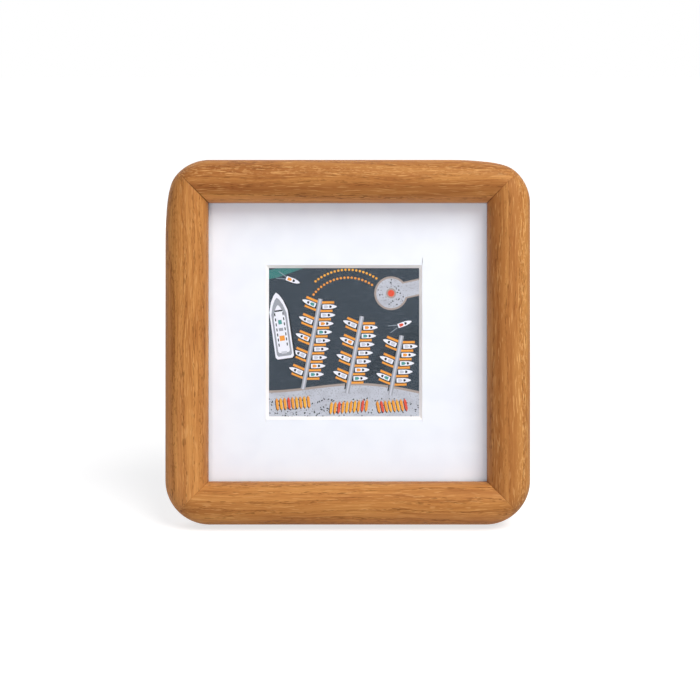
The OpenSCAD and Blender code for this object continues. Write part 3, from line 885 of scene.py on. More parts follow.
@dataclass
class OakFrame:
    """The four mitred rails and the V nails that hold their corners, in millimetres."""

    size: float = 184.0
    rail_w: float = 21.4
    rail_d: float = 22.0
    corner_r: float = 22.4
    front_round: float = 10.6
    inner_round: float = 10.2
    back_round: float = 1.5
    rebate_in: float = 15.5
    rebate_front: float = 14.05
    easing: float = 2.0
    steps: int = 36
    v_nail_in: float = 9.7
    v_nail_leg: float = 5.0
    v_nail_t: float = 0.5
    v_nail_depth: float = 8.0
    v_nail_proud: float = 0.06
    # Each mitre from the lower left round to the upper left: how far its glue line is squeezed
    # shut, and where it starts to fade towards the outer edge; then how fast it fades, and the
    # depth down to which it shows
    tight: tuple = (0.28, 0.25, 0.13, 0.07)
    fades: tuple = (14.0, 6.0, 18.0, 14.0)
    fading: float = 0.03
    glue_to: float = 21.5
    # Depth from which the sides show the rings closer together
    side_from: float = 6.0
    # Sanding at one end: where it starts, how soon it is full, its middle and spread along the
    # rail, and how far in it reaches
    sand_from: float = 3.0
    sand_ramp: float = 12.0
    sand_at: float = 17.0
    sand_spread: float = 11.0
    sand_in: float = 12.0

    def squareness(self, inset: float, full: float) -> float:
        """Gives how far a point has left the turned corner for the straight mitre."""
        return min(1.0, max(0.0, (inset - self.easing) / (full - self.easing)))

    def section(self) -> list[tuple[float, float, float, float]]:
        """Draws the closed section.

        Returns:
            Its points: inset from the outer edge, depth, squareness, and 1 on the front.
        """
        turn = [math.pi / 2 * i / self.steps for i in range(self.steps + 1)]
        outer, inner, low = self.front_round, self.inner_round, self.rail_d - self.back_round
        crown = self.rail_w - inner
        front = [(outer * (1 - math.cos(a)), outer * (1 - math.sin(a))) for a in turn]
        front += [(crown + inner * math.sin(a), inner * (1 - math.cos(a))) for a in turn]
        points = [(s, y, self.squareness(s, self.rail_w), 1.0) for s, y in front]
        sight = [inner + (self.rebate_front - inner) * i / 4 for i in (1, 2, 3, 4)]
        points += [(self.rail_w, y, 1.0, 0.0) for y in sight]
        points += [(self.rebate_in, y, 1.0, 0.0) for y in (self.rebate_front, self.rail_d)]
        back = [self.rebate_in + (self.back_round - self.rebate_in) * i / 10 for i in range(1, 10)]
        points += [(s, self.rail_d, self.squareness(s, self.rebate_in), 0.0) for s in back]
        for a in [math.pi / 2 * i / 8 for i in range(9)]:
            inset = self.back_round * (1 - math.sin(a))
            points.append((inset, self.rail_d - self.back_round * (1 - math.cos(a)), 0.0, 0.0))
        return points + [(0.0, low + (outer - low) * i / 5, 0.0, 0.0) for i in range(1, 5)]

    def bands(self, at: float, table: tuple) -> float:
        """Adds up the bands of a table at a distance in from the outer edge."""
        return sum(share * math.exp(-(((at - mid) / width) ** 2)) for mid, width, share in table)

    def mark_wood(self, mesh: bpy.types.Mesh, wood: RailWood) -> None:
        """Writes on a rail, still lying as the bottom one, where each point lies in its board, and
        its bands of tone, painted shade and painted light.

        Args:
            mesh: The rail's mesh in millimetres: x along, y the depth, z in from the edge.
            wood: The rail's wood.
        """
        values: dict[str, list[float]] = {"figure": [], "joint": [], "plank": []}
        board = []
        for vertex in mesh.vertices:
            x, y, z = vertex.co
            # Down the sides the saw meets the rings more squarely, so they stand closer there
            depth = y + max(0.0, y - self.side_from)
            board += [x + wood.along, z + wood.across, depth + wood.across * 0.5]
            corner = (wood.quarters + (x > 0)) % 4
            gap = (self.size / 2 - abs(x) - z) * math.sqrt(0.5) + self.tight[corner]
            gap += self.fading * max(0.0, self.fades[corner] - z)
            values["joint"].append(gap if y < self.glue_to else 1.0)
            values["figure"].append(self.bands(z, wood.figure))
            # The drift of tone is strongest at the outer edge
            drift = wood.drift * 2.0 * x / self.size * (1.25 - z / self.rail_w)
            # Warm and pale bands, some of them painted shade and painted light, plus the drift
            values["plank"].append(self.bands(z, wood.warm_and_shade) + drift)
        mesh.attributes.new("board", "FLOAT_VECTOR", "POINT").data.foreach_set("vector", board)
        for label, column in values.items():
            mesh.attributes.new(label, "FLOAT", "POINT").data.foreach_set("value", column)

    def sand(self, mesh: bpy.types.Mesh, wood: RailWood) -> None:
        """Sands one end of a rail's outer edge a little more than the cutter left it.

        Args:
            mesh: The rail's mesh, still lying as the bottom one.
            wood: The rail's wood.
        """
        for vertex in mesh.vertices:
            along = vertex.co.x + self.size / 2
            ramp = min(1.0, max(0.0, (along - self.sand_from) / self.sand_ramp))
            started = ramp * ramp * (3.0 - 2.0 * ramp)
            deep = max(0.0, 1.0 - vertex.co.z / self.sand_in) ** 2
            spread = math.exp(-(((along - self.sand_at) / self.sand_spread) ** 2))
            vertex.co.z += wood.sanded * deep * started * spread

    def rail(self, tree: bpy.types.NodeTree, side: Side, finish: bpy.types.Material) -> None:
        """Grows one rail, marks its wood and sets it on its side of the frame.

        Args:
            tree: The rail's tree.
            side: Which rail to make.
            finish: The oak.
        """
        label, wood, points = side.name.lower(), side.value, self.section()
        names = ("inset", "depth", "square", "front")
        piece = new_object(f"oak_rail_{label}", seed_mesh(
            label, [(s, y, 0.0) for s, y, _, _ in points],
            [(i, (i + 1) % len(points)) for i in range(len(points))],
            {name: list(column) for name, column in zip(names, zip(*points))},
        ))
        grow(piece, tree, {
            "Length": self.size, "Rail width": self.rail_w, "Corner radius": self.corner_r,
            "Front round": self.front_round, "Inner round": self.inner_round, "Material": finish,
        })
        self.mark_wood(piece.data, wood)
        self.sand(piece.data, wood)
        middle = Matrix.Translation(Vector((0, 0, self.size / 2)))
        quarter = Matrix.Rotation(-math.pi / 2 * wood.quarters, 4, "Y")
        piece.data.transform(STANCE.of_frame() @ middle @ quarter @ middle.inverted())
        hand_over(piece, FRAME_BODY, f"rail_{label}", finish)

    def v_nails(self, finish: bpy.types.Material) -> None:
        """Makes the four V nails, driven a hair short of flush across the mitres.

        Args:
            finish: The steel.
        """
        t, leg, half = self.v_nail_t, self.v_nail_leg, self.size / 2
        outline = [(0, 0), (leg, 0), (leg, t), (t, t), (t, leg), (0, leg)]
        arms = [(half - self.v_nail_in - x, half - self.v_nail_in - z) for x, z in outline]
        depths = (self.rail_d - self.v_nail_depth, self.rail_d + self.v_nail_proud)
        mesh = bpy.data.meshes.new("v_nails")
        with opened(mesh, outwards=True) as work:
            for sx, sz in CORNERS:
                rings = [
                    [work.verts.new((sx * x, y, half + sz * z)) for x, z in arms] for y in depths
                ]
                for ring in rings:
                    work.faces.new(ring)
                join_rings(work, *rings)
        mesh.transform(STANCE.of_frame())
        piece = new_object("v_nails", mesh)
        hand_over(piece, FRAME_BODY, "corner_v_nails", finish)

    def build(self, finishes: Finishes) -> None:
        """Builds the rails and the V nails.

        Args:
            finishes: The object's finishes.
        """
        tree = moulded_rail_tree()
        for side in Side:
            self.rail(tree, side, finishes.oak)
        self.v_nails(finishes.steel)


# What the frame holds


class Ground(Enum):
    """Inks of the harbour print, each with the mark of the mottle that it carries."""

    WATER = ("#343e47", 1.0)
    DEEP = ("#2b343c", 1.0)
    SHALLOW = ("#3d7a76", 1.0)
    STONE = ("#c3c7cf", 0.5)
    KERB = ("#a79a91", 0.0)
    PLANK = ("#9da1a8", 0.0)
    HULL = ("#f0f1f8", 0.0)
    DECK = ("#c9cbd3", 0.0)
    SHADE = ("#20262c", 0.0)
    FOAM = ("#8e9aa3", 0.0)
    ORANGE = ("#ef9f3e", 0.0)
    AMBER = ("#f4b13e", 0.0)
    RED = ("#e2553d", 0.0)
    TEAL = ("#4f9a93", 0.0)

    def colour(self) -> tuple[float, float, float, float]:
        """Gives the ink's linear colour, with the mottle's mark as its alpha."""
        return ink(*self.value)


def box(left: float, low: float, right: float, high: float) -> Outline:
    """Gives a rectangle's corners."""
    return [(left, low), (right, low), (right, high), (left, high)]


def mirrored(*half: tuple[float, float]) -> Outline:
    """Gives a whole outline from its lower half, which ends on the line of its middle."""
    return [*half, *[(u, -v) for u, v in half[-2::-1]]]


@dataclass
class HarbourPrint:
    """A made-up small harbour seen from above, drawn in millimetres from the window's middle."""

    side: float = 102.0
    thick: float = 0.25
    front: float = 17.55
    shift: float = -1.9
    middle: float = 92.0
    seed: int = 7
    mole: tuple = (24, 25)
    shapes: list[tuple[Ground, Outline]] = field(default_factory=list)

    def lay(
        self, ground: Ground, outline: Outline, x: float = 0.0, z: float = 0.0, heading: float = 0.0
    ) -> None:
        """Lays one filled outline over the rest, turned, moved and clipped to the sheet.

        Args:
            ground: Its ink.
            outline: Its corners.
            x: How far it is moved to the right.
            z: How far it is moved upwards.
            heading: How far it is turned first, in degrees.
        """
        c, s = math.cos(math.radians(heading)), math.sin(math.radians(heading))
        outline = [(x + c * u - s * v, z + s * u + c * v) for u, v in outline]
        half = self.side / 2
        for axis, sign in ((0, 1), (0, -1), (1, 1), (1, -1)):
            kept: Outline = []
            for prior, here in zip(outline[-1:] + outline, outline):
                was, now = (sign * point[axis] <= half for point in (prior, here))
                if was != now:
                    t = (sign * half - prior[axis]) / (here[axis] - prior[axis])
                    kept.append(tuple(p + t * (h - p) for p, h in zip(prior, here)))
                if now:
                    kept.append(here)
            outline = kept
        turns = sum(a[0] * b[1] - b[0] * a[1] for a, b in zip(outline, outline[1:] + outline[:1]))
        if outline:
            self.shapes.append((ground, outline if turns > 0 else outline[::-1]))

    def bar(self, ground: Ground, start: tuple, end: tuple, width: float) -> None:
        """Lays a straight bar from the middle of one end to the middle of the other."""
        heading = math.degrees(math.atan2(end[1] - start[1], end[0] - start[0]))
        self.lay(ground, box(0, -width / 2, math.dist(start, end), width / 2), *start, heading)

    def disc(self, ground: Ground, x: float, z: float, radius: float, sides: int = 28) -> None:
        """Lays a round spot."""
        turns = [math.tau * i / sides for i in range(sides)]
        self.lay(ground, [(radius * math.cos(a), radius * math.sin(a)) for a in turns], x, z)

    def boat(self, x: float, z: float, heading: float, length: float, cover: Ground) -> None:
        """Lays a moored boat: its shadow, hull, cover and cockpit.

        Args:
            x: Place of its middle to the right.
            z: Place of its middle upwards.
            heading: Where its bow points, in degrees.
            length: Its length.
            cover: Ink of the cover over its stern.
        """
        beam = length * 0.155
        hull = mirrored(
            (-0.5, -0.85), (-0.46, -1), (0.05, -1), (0.3, -0.72), (0.45, -0.3), (0.5, 0))
        # Ink, scale and shift along the boat, scale across it, and the shadow's cast
        for ground, long, ahead, wide, dx, dz in (
            (Ground.SHADE, 1, 0, 1, -0.35, -0.5), (Ground.HULL, 1, 0, 1, 0, 0),
            (cover, 0.3, -0.24, 0.66, 0, 0), (Ground.SHADE, 0.16, 0.06, 0.55, 0, 0),
        ):
            part = [(u * length * long + ahead * length, v * beam * wide) for u, v in hull]
            self.lay(ground, part, x + dx, z + dz, heading)

    def quays(self) -> None:
        """Lays the water, the shallows, the curved quay and the round mole."""
        half = self.side / 2
        swell = [(-51, 30), (-34, 33), (-20, 38), (-14, 51), (-51, 51)]
        steps = range(-51, 52, 3)
        brink = [(x, -23.5 + 3.2 * math.sin(x * 0.055 + 0.9) - 0.05 * x) for x in steps]
        shore = [(51, -51), (-51, -51)]
        for ground, outline in (
            (Ground.WATER, box(-half, -half, half, half)),
            (Ground.DEEP, [(8, -20), (30, -8), (51, -2), (51, 12), (34, 8), (20, -2)]),
            (Ground.SHALLOW, swell),
            (Ground.WATER, [(x - 3, z + 4) for x, z in swell]),
            (Ground.KERB, brink + shore),
            (Ground.STONE, [(x, z - 1.2) for x, z in brink] + shore),
        ):
            self.lay(ground, outline)
        for ground, width, radius in ((Ground.KERB, 8.6, 8.6), (Ground.STONE, 7.0, 7.6)):
            self.bar(ground, self.mole, (60, 33), width)
            self.disc(ground, *self.mole, radius)
        self.disc(Ground.KERB, *self.mole, 2.6)
        self.disc(Ground.RED, *self.mole, 1.7)

    def jetties(self) -> None:
        """Lays three jetties with orange fingers and the boats between them."""
        covers = [Ground.DECK, Ground.TEAL, Ground.DECK, Ground.ORANGE, Ground.DECK]
        lean, step, berth = 79.0, 4.4, 0
        along = Vector((math.cos(math.radians(lean)), math.sin(math.radians(lean))))
        across, cast = Vector((along.y, -along.x)), Vector((-0.7, -1.0))
        for root, length in (((-21.0, -24.0), 47.0), ((1.5, -26.0), 40.0), ((23.5, -27.0), 31.0)):
            start, place = Vector(root), 5.5
            end = start + along * length
            self.bar(Ground.SHADE, tuple(start + along * 3 + cast), tuple(end + cast), 2.6)
            while place < length - 1:
                foot = start + along * place
                for hand in (-1, 1):
                    tip = foot + across * hand * 7.2 + along * 1.5
                    self.bar(Ground.ORANGE, tuple(foot), tuple(tip), 1.15)
                    if berth % 4 != 2 and place < length - 6:
                        spot = foot + across * hand * 5.4 + along * (step / 2 + 1.1)
                        heading = lean - 90 * hand + hand * 12
                        self.boat(*spot, heading, 7.4, covers[berth % 5])
                    berth += 1
                place += step
            self.bar(Ground.PLANK, root, tuple(end), 2.3)
            self.bar(Ground.DECK, root, tuple(end), 0.9)

    def ferry(self) -> None:
        """Lays the long white ferry at the left: hull, side decks, cabin roof and its fittings."""
        spot = (-32.4, 8.5, 98.0)
        nose = mirrored(
            (-0.5, -0.8), (-0.47, -1), (0.22, -1), (0.37, -0.66), (0.46, -0.3), (0.5, 0))
        for ground, length, half, along, across in (
            (Ground.SHADE, 34.0, 4.9, -0.6, -0.8), (Ground.HULL, 34.0, 4.7, 0.0, 0.0),
            (Ground.PLANK, 30.0, 3.9, -0.6, 0.0), (Ground.HULL, 24.5, 3.0, -1.6, 0.0),
        ):
            self.lay(ground, [(u * length + along, v * half + across) for u, v in nose], *spot)
        for k in range(7):
            for v in (-2.1, 2.1):
                u = -10.5 + 2.6 * k
                self.lay(Ground.SHADE, box(u, v - 0.28, u + 1.5, v + 0.28), *spot)
        for u, wide, high, ground in (
            (-6.5, 2.6, 1.3, Ground.ORANGE), (-2.0, 1.5, 1.1, Ground.PLANK),
            (7.6, 0.8, 2.0, Ground.SHADE), (1.8, 2.2, 0.9, Ground.TEAL),
            (-13.8, 1.2, 1.4, Ground.DECK),
        ):
            self.lay(ground, box(u - 0.5 * wide, -high, u + 0.5 * wide, high), *spot)

    def crowd(self) -> None:
        """Lays the people's specks on the quay and round the mole's end."""
        dice = random.Random(self.seed)
        spans = ((-40, 40), (-39, -28.5), (0.22, 0.5), (0, 180))
        for _ in range(150):
            x, z, size, turn = (dice.uniform(*span) for span in spans)
            self.lay(Ground.SHADE, box(-size, -0.26, size, 0.26), x, z, turn)
        for _ in range(30):
            a, r = dice.uniform(0, math.tau), dice.uniform(3.2, 7.0)
            x, z = self.mole[0] + r * math.cos(a), self.mole[1] + r * math.sin(a)
            self.disc(Ground.SHADE, x, z, dice.uniform(0.22, 0.42), 6)

    def small_things(self) -> None:
        """Lays the kayaks on the quay, the buoy lines and two dinghies with their wakes."""
        orange, amber = Ground.ORANGE, Ground.AMBER
        paint = [orange, amber, orange, Ground.RED, orange, amber]
        kayak = mirrored((-0.5, 0), (-0.3, -1), (0.3, -1), (0.5, 0))[:-1]
        kayak = [(u * 6.6, v * 0.66) for u, v in kayak]
        rows = ((-34.0, -31.6, 97.0, 9), (-6.5, -33.6, 84.0, 10), (17.5, -33.0, 102.0, 8))
        for row, (x, z, heading, count) in enumerate(rows):
            for k in range(count):
                for ground, cast in ((Ground.SHADE, -0.35), (paint[(k + row) % 6], 0.0)):
                    self.lay(ground, kayak, x + 2.0 * k + cast, z + 0.15 * k + cast, heading)
        for k in range(19):
            for ground, reach in ((orange, 22.0), (amber, 26.0)):
                a = 0.98 + k * 0.084 * 22.0 / reach
                self.disc(ground, 2 + reach * math.cos(a), 11 + reach * math.sin(a), 0.62, 8)
        for x, z, heading, cover in ((31.0, 9.5, 20.0, Ground.RED), (-26.0, 31.5, 340.0, orange)):
            for hand in (-1, 1):
                wake = [(-4, 0.4 * hand), (-4, 0.9 * hand), (-8.5, 2.0 * hand), (-8.5, 1.7 * hand)]
                self.lay(Ground.FOAM, wake, x, z, heading)
            self.boat(x, z, heading, 7.5, cover)

    def build(self, finish: bpy.types.Material) -> None:
        """Draws the harbour and makes the sheet, split along every outline.

        Args:
            finish: The print's finish.
        """
        for draw in (self.quays, self.jetties, self.ferry, self.crowd, self.small_things):
            draw()
        points: list[Vector] = []
        faces: list[list[int]] = []
        for _, outline in self.shapes:
            faces.append(list(range(len(points), len(points) + len(outline))))
            points += [Vector(p) for p in outline]
        verts, _, tris, _, _, sources = delaunay_2d_cdt(points, [], faces, 0, 1e-4, True)
        places = [(v.x + self.shift, self.front, v.y + self.middle) for v in verts]
        mesh = bpy.data.meshes.new("harbour_print")
        with opened(mesh, outwards=True) as work:
            layer = work.loops.layers.float_color.new("ink")
            corners = [work.verts.new(place) for place in places]
            for tri, source in zip(tris, sources):
                colour = (self.shapes[max(source)][0] if source else Ground.WATER).colour()
                for loop in work.faces.new([corners[i] for i in tri]).loops:
                    loop[layer] = colour
            grown = bmesh.ops.extrude_face_region(work, geom=work.faces[:])["geom"]
            behind = [part for part in grown if isinstance(part, bmesh.types.BMVert)]
            bmesh.ops.translate(work, verts=behind, vec=(0, self.thick, 0))
        mesh.transform(STANCE.of_frame())
        piece = new_object("harbour_print", mesh)
        hand_over(piece, FRAME_BODY, "print", finish)


@dataclass
class WindowMat:
    """The mat board with its bevelled window and the blade's short overcuts at the corners."""

    sheet: float = 152.4
    thick: float = 1.5
    front: float = 16.05
    window_w: float = 76.6
    window_h: float = 75.6
    shift: float = -1.9
    middle: float = 92.0
    overcut: float = 3.6
    kerf: float = 0.4
    kerf_depth: float = 1.1

    def overcuts(self) -> bpy.types.Mesh:
        """Makes the thin wedges that the blade leaves past the corners of the window.

        Returns:
            Their mesh.
        """
        mesh = bpy.data.meshes.new("overcuts")
        half_w, half_h = self.window_w / 2 + self.thick, self.window_h / 2 + self.thick
        with opened(mesh) as work:
            for sx, sz, share in ((1, 1, 1.0), (-1, -1, 0.4), (1, -1, 0.3)):
                length = self.overcut * share
                z = self.middle + sz * (half_h + length / 2)
                place = Matrix.Translation(Vector((self.shift + sx * half_w, self.front, z)))
                size = Matrix.Diagonal((self.kerf, self.kerf_depth * 2, length, 1))
                bmesh.ops.create_cube(work, size=1.0, matrix=place @ size)
        return mesh

    def build(self, finish: bpy.types.Material) -> None:
        """Makes the board, then cuts the overcuts into it.

        Args:
            finish: The mat board's finish.
        """
        mesh = bpy.data.meshes.new("window_mat")
        back, wide = self.front + self.thick, 2 * self.thick
        with opened(mesh, outwards=True) as work:
            rings = [
                [work.verts.new((x + sx * w / 2, y, self.middle + sz * h / 2))
                 for sx, sz in CORNERS]
                for w, h, x, y in (
                    (self.sheet, self.sheet, 0, self.front),
                    (self.window_w + wide, self.window_h + wide, self.shift, self.front),
                    (self.window_w, self.window_h, self.shift, back),
                    (self.sheet, self.sheet, 0, back),
                )
            ]
            for k, ring in enumerate(rings):
                join_rings(work, rings[k - 1], ring)
        piece = new_object("window_mat", mesh)
        cutter = new_object("overcuts", self.overcuts())
        cut = piece.modifiers.new("overcuts", "BOOLEAN")
        cut.object = cutter
        cut.operation = "DIFFERENCE"
        cut.solver = "EXACT"
        cut.use_self = True
        settle(piece, 20.0)
        bpy.data.objects.remove(cutter)
        cuts = [float(abs(face.normal.y) < 0.9) for face in piece.data.polygons]
        piece.data.attributes.new("core", "FLOAT", "FACE").data.foreach_set("value", cuts)
        piece.data.transform(STANCE.of_frame())
        hand_over(piece, FRAME_BODY, "mat_board", finish)


# Pieces that keep the CAD shape with their arrises eased


@dataclass
class EasedPiece:
    """A copy of a CAD node whose sharp edges are eased as a press, saw or file leaves them."""

    node: str
    body: str
    slot: str
    easing: float
    slack: float = 0.0
    # Angles in degrees above which an edge is eased, is shaded crisp, and is shaded crisp beside
    # a large flat, then the square millimetres above which a flat is large
    eased_above: float = 30.0
    crisp_above: float = 20.0
    flat_above: float = 2.0
    flat_area: float = 12.0

    def hold_flats(self, mesh: bpy.types.Mesh) -> None:
        """Ends the soft shading where a bend runs into a large flat, so that the flat looks flat.

        Args:
            mesh: The eased mesh.
        """
        with opened(mesh) as work:
            for edge in work.edges:
                large = max(face.calc_area() for face in edge.link_faces) > self.flat_area * MM**2
                if large and edge.calc_face_angle(0.0) > math.radians(self.flat_above):
                    edge.smooth = False

    def build(self, finish: bpy.types.Material) -> None:
        """Copies the node, merges and flattens its triangles, eases its edges.

        Args:
            finish: The piece's finish.
        """
        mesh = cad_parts[self.node].data.copy()
        with opened(mesh) as work:
            bmesh.ops.remove_doubles(work, verts=work.verts, dist=1e-6)
            bmesh.ops.dissolve_limit(
                work, angle_limit=math.radians(0.5), verts=work.verts, edges=work.edges,
                use_dissolve_boundaries=False,
            )
            work.normal_update()
            for vertex in work.verts:
                vertex.co -= vertex.normal * self.slack * MM
        mesh.transform(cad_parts[self.node].matrix_world)
        piece = new_object(f"{self.node}_eased", mesh)
        ease = piece.modifiers.new("ease", "BEVEL")
        ease.width = self.easing * MM
        ease.segments = 2
        ease.limit_method = "ANGLE"
        ease.angle_limit = math.radians(self.eased_above)
        ease.use_clamp_overlap = True
        settle(piece, self.crisp_above)
        self.hold_flats(piece.data)
        hand_over(piece, self.body, self.node, finish)


@dataclass
class RebateSheets:
    """The glass and the backing card, cut to the rebate, their arrises ground or worn."""

    glass_arris: float = 0.2
    glass_slack: float = 0.05
    card_arris: float = 0.12

    def build(self, finishes: Finishes) -> None:
        """Builds both sheets.

        Args:
            finishes: The object's finishes.
        """
        glass = EasedPiece("glazing", FRAME_BODY, "clear_glass", self.glass_arris, self.glass_slack)
        glass.build(finishes.glass)
        card = EasedPiece("backing_card", FRAME_BODY, "grey_card", self.card_arris)
        card.build(finishes.card)


@dataclass
class EaselBack:
    """Back board, leg, hinge, turn buttons and hanger, each with its arris in millimetres."""

    board: float = 0.25
    leg: float = 0.3
    leaf: float = 0.1
    pin: float = 0.2
    hanger: float = 0.08
    button: float = 0.2

    def build(self, finishes: Finishes) -> None:
        """Builds each eased piece.

        Args:
            finishes: The object's finishes.
        """
        nickel, zinc = "nickel_plated_steel", "zinc_plated_steel"
        buttons = [f"{side}_{level}" for side in ("left", "right") for level in ("upper", "lower")]
        for node, body, slot, arris, finish in (
            ("back_board", FRAME_BODY, "hardboard", self.board, finishes.board),
            ("easel_leg", LEG_BODY, "hardboard", self.leg, finishes.leg_board),
            ("hinge_board_leaf", FRAME_BODY, nickel, self.leaf, finishes.nickel),
            ("hinge_leg_leaf", LEG_BODY, nickel, self.leaf, finishes.leg_nickel),
            ("hinge_pin", FRAME_BODY, "bright_steel", self.pin, finishes.steel),
            ("hanger_plate", FRAME_BODY, "brass_plated_steel", self.hanger, finishes.brass),
            *[(f"turn_button_{name}", f"button_{name}", zinc, self.button, finishes.zinc)
              for name in buttons],
        ):
            EasedPiece(node, body, slot, arris).build(finish)


@dataclass
class TurnedSet:
    """A set of like turned pieces, such as rivets, made by one tree at several places."""

    name: str
    node: str
    body: str
    slot: str
    profile: Outline
    places: list[tuple[float, float, float]]
    stand: Matrix
    # Width, span and depth of the driver's cross
    recess: tuple[float, float, float] = (0.0, 3.0, 1.0)
    sides: int = 40

    def build(self, tree: bpy.types.NodeTree, finish: bpy.types.Material) -> None:
        """Makes the set: the half profile and the places go in, the plain mesh comes out.

        Args:
            tree: The tree of turned pieces.
            finish: The set's finish.
        """
        count, spare = len(self.profile), [0.0] * len(self.places)
        reaches, heights = (list(column) for column in zip(*self.profile))
        points = [(r, h, 0.0) for r, h in self.profile] + self.places
        edges = [(i, i + 1) for i in range(count - 1)]
        piece = new_object(self.name, seed_mesh(self.name, points, edges, {
            "reach": reaches + spare,
            "height": heights + spare,
            "spot": [0.0] * count + [1.0] * len(self.places),
        }))
        grow(piece, tree, {
            "Sides": self.sides, "Crown height": max(heights), "Material": finish,
            **dict(zip(("Recess width", "Recess span", "Recess depth"), self.recess)),
        })
        piece.data.transform(self.stand)
        hand_over(piece, self.body, self.node, finish)


def arc(r0: float, h0: float, radius: float, start: float, end: float, steps: int) -> Outline:
    """Gives points of a profile round (r0, h0), from one angle to another in degrees."""
    turns = [math.radians(start + (end - start) * i / steps) for i in range(steps + 1)]
    return [(r0 + radius * math.cos(a), h0 + radius * math.sin(a)) for a in turns]


@dataclass
class BackHardware:
    """The screws, rivets and nails of the back, with heights measured back from the frame."""

    rail_d: float = 22.0
    size: float = 184.0
    screw_in: float = 8.5
    button_spread: float = 42.0
    screw_r: float = 1.5
    screw_head_r: float = 3.0
    screw_head_h: float = 1.7
    screw_edge: float = 0.25
    thread_root: float = 1.08
    recess: tuple = (0.72, 3.3, 0.95)
    seat: float = 1.2
    screw_len: float = 10.0
    rivet_r: float = 1.25
    rivet_head_r: float = 2.4
    rivet_head_h: float = 1.0
    rivet_x: float = 11.0
    rivet_z: float = 12.0
    flare_r: float = 1.95
    flare_h: float = 0.7
    plate_back: float = -1.6
    leaf_back: float = 1.85
    grip: float = 4.0
    hanger_in: float = 8.5
    nail_x: float = 20.0
    nail_r: float = 0.7
    nail_head_r: float = 2.0
    nail_head_h: float = 0.7
    nail_edge: float = 0.15
    hanger_t: float = 0.9
    nail_len: float = 9.0

    def screw_profile(self) -> Outline:
        """Draws a pan-head screw with a rounded thread.

        Returns:
            Its half profile.
        """
        tip, edge = -self.screw_len - 2 * self.screw_r, self.screw_edge
        points = [(0.0, tip), (0.2, tip), (self.screw_r * 0.9, -self.screw_len)]
        for k in range(8):
            foot = -self.screw_len + 1.0 * k
            points += [(self.thread_root, foot + 0.35), (self.screw_r, foot + 0.7)]
        points += [(self.screw_r, -0.5), (self.screw_r, self.seat)]
        points += [(self.screw_head_r - edge, self.seat)]
        points += arc(self.screw_head_r - edge, self.seat + edge, edge, -90, 0, 3)
        rim = self.screw_head_h / 2
        points += arc(self.screw_head_r - rim, self.seat + rim, rim, 15, 90, 7)
        return [*points, (0.0, self.seat + self.screw_head_h)]

    def rivet_profile(self) -> Outline:
        """Draws a domed rivet, flared flush at its far end.

        Returns:
            Its half profile.
        """
        dome = (self.rivet_head_r**2 + self.rivet_head_h**2) / (2 * self.rivet_head_h)
        rise = math.degrees(math.asin((dome - self.rivet_head_h) / dome))
        points = [(0.0, -self.grip), (self.flare_r, -self.grip)]
        points += [(self.rivet_r, self.flare_h - self.grip), (self.rivet_r, 0.0)]
        points += [(self.rivet_head_r - 0.1, 0.0)]
        return points + arc(0.0, self.rivet_head_h - dome, dome, rise + 1.5, 90, 12)

    def nail_profile(self) -> Outline:
        """Draws a round-head nail.

        Returns:
            Its half profile.
        """
        top, edge, head = self.hanger_t + self.nail_head_h, self.nail_edge, self.nail_head_r
        points = [(0.0, -self.nail_len), (self.nail_r * 0.6, -self.nail_len + 0.6)]
        points += [(self.nail_r, 1.2 - self.nail_len), (self.nail_r, self.hanger_t)]
        points += [(head - edge, self.hanger_t)]
        points += arc(head - edge, self.hanger_t + edge, edge, -90, 0, 3)
        return points + [(head * 0.86, top - 0.22), (head * 0.6, top - 0.04), (0.0, top)]

    def build(self, finishes: Finishes) -> None:
        """Builds the four sets.

        Args:
            finishes: The object's finishes.
        """
        tree = turned_piece_tree()
        nickel, half, pair = "nickel_plated_steel", self.size / 2, (-1, 1)
        in_frame, in_leaf = STANCE.of_frame(), self.rivet_profile()
        reach = half - self.screw_in
        screws = [(sx * reach, self.rail_d, half + sz * self.button_spread)
                  for sx in pair for sz in pair]
        plate = [(sx * self.rivet_x, self.plate_back, self.rivet_z) for sx in pair]
        leaf = [(sx * self.rivet_x, self.leaf_back, -self.rivet_z) for sx in pair]
        nails = [(sx * self.nail_x, self.rail_d, self.size - self.hanger_in) for sx in pair]
        TurnedSet("button_screws", "turn_button_screws", FRAME_BODY, "zinc_plated_steel",
                  self.screw_profile(), screws, in_frame, self.recess).build(tree, finishes.zinc)
        TurnedSet("board_rivets", "hinge_board_rivets", FRAME_BODY, nickel,
                  in_leaf, plate, STANCE.of_pin()).build(tree, finishes.nickel)
        TurnedSet("leg_rivets", "hinge_leg_rivets", LEG_BODY, nickel,
                  in_leaf, leaf, STANCE.of_leg()).build(tree, finishes.leg_nickel)
        TurnedSet("hanger_pins", "hanger_nails", FRAME_BODY, "brass_plated_steel",
                  self.nail_profile(), nails, in_frame).build(tree, finishes.brass)


# The studio


@dataclass(frozen=True)
class SoftBox:
    """A round soft box, placed by its angles off the frame's face in degrees."""

    name: str
    up: float
    right: float
    size: float
    power: float
    tint: str
    mirrored: bool = True
    ahead: float = 1.0
    distance: float = 1.3
    middle: tuple = (0, 12, 92)

    def hang(self) -> None:
        """Hangs the lamp so that it faces the middle of the frame, ahead of it or behind it."""
        across, rise = math.tan(math.radians(self.right)), math.tan(math.radians(self.up))
        towards = STANCE.turned((across, -self.ahead, rise))
        lamp = bpy.data.lights.new(self.name, "AREA")
        lamp.shape = "DISK"
        lamp.size = self.size
        lamp.energy = self.power
        lamp.color = ink(self.tint)[:3]
        holder = new_object(self.name, lamp)
        holder.location = STANCE.of_frame() @ Vector(self.middle) + towards * self.distance
        holder.rotation_euler = towards.to_track_quat("Z", "Y").to_euler()
        holder.visible_glossy = self.mirrored


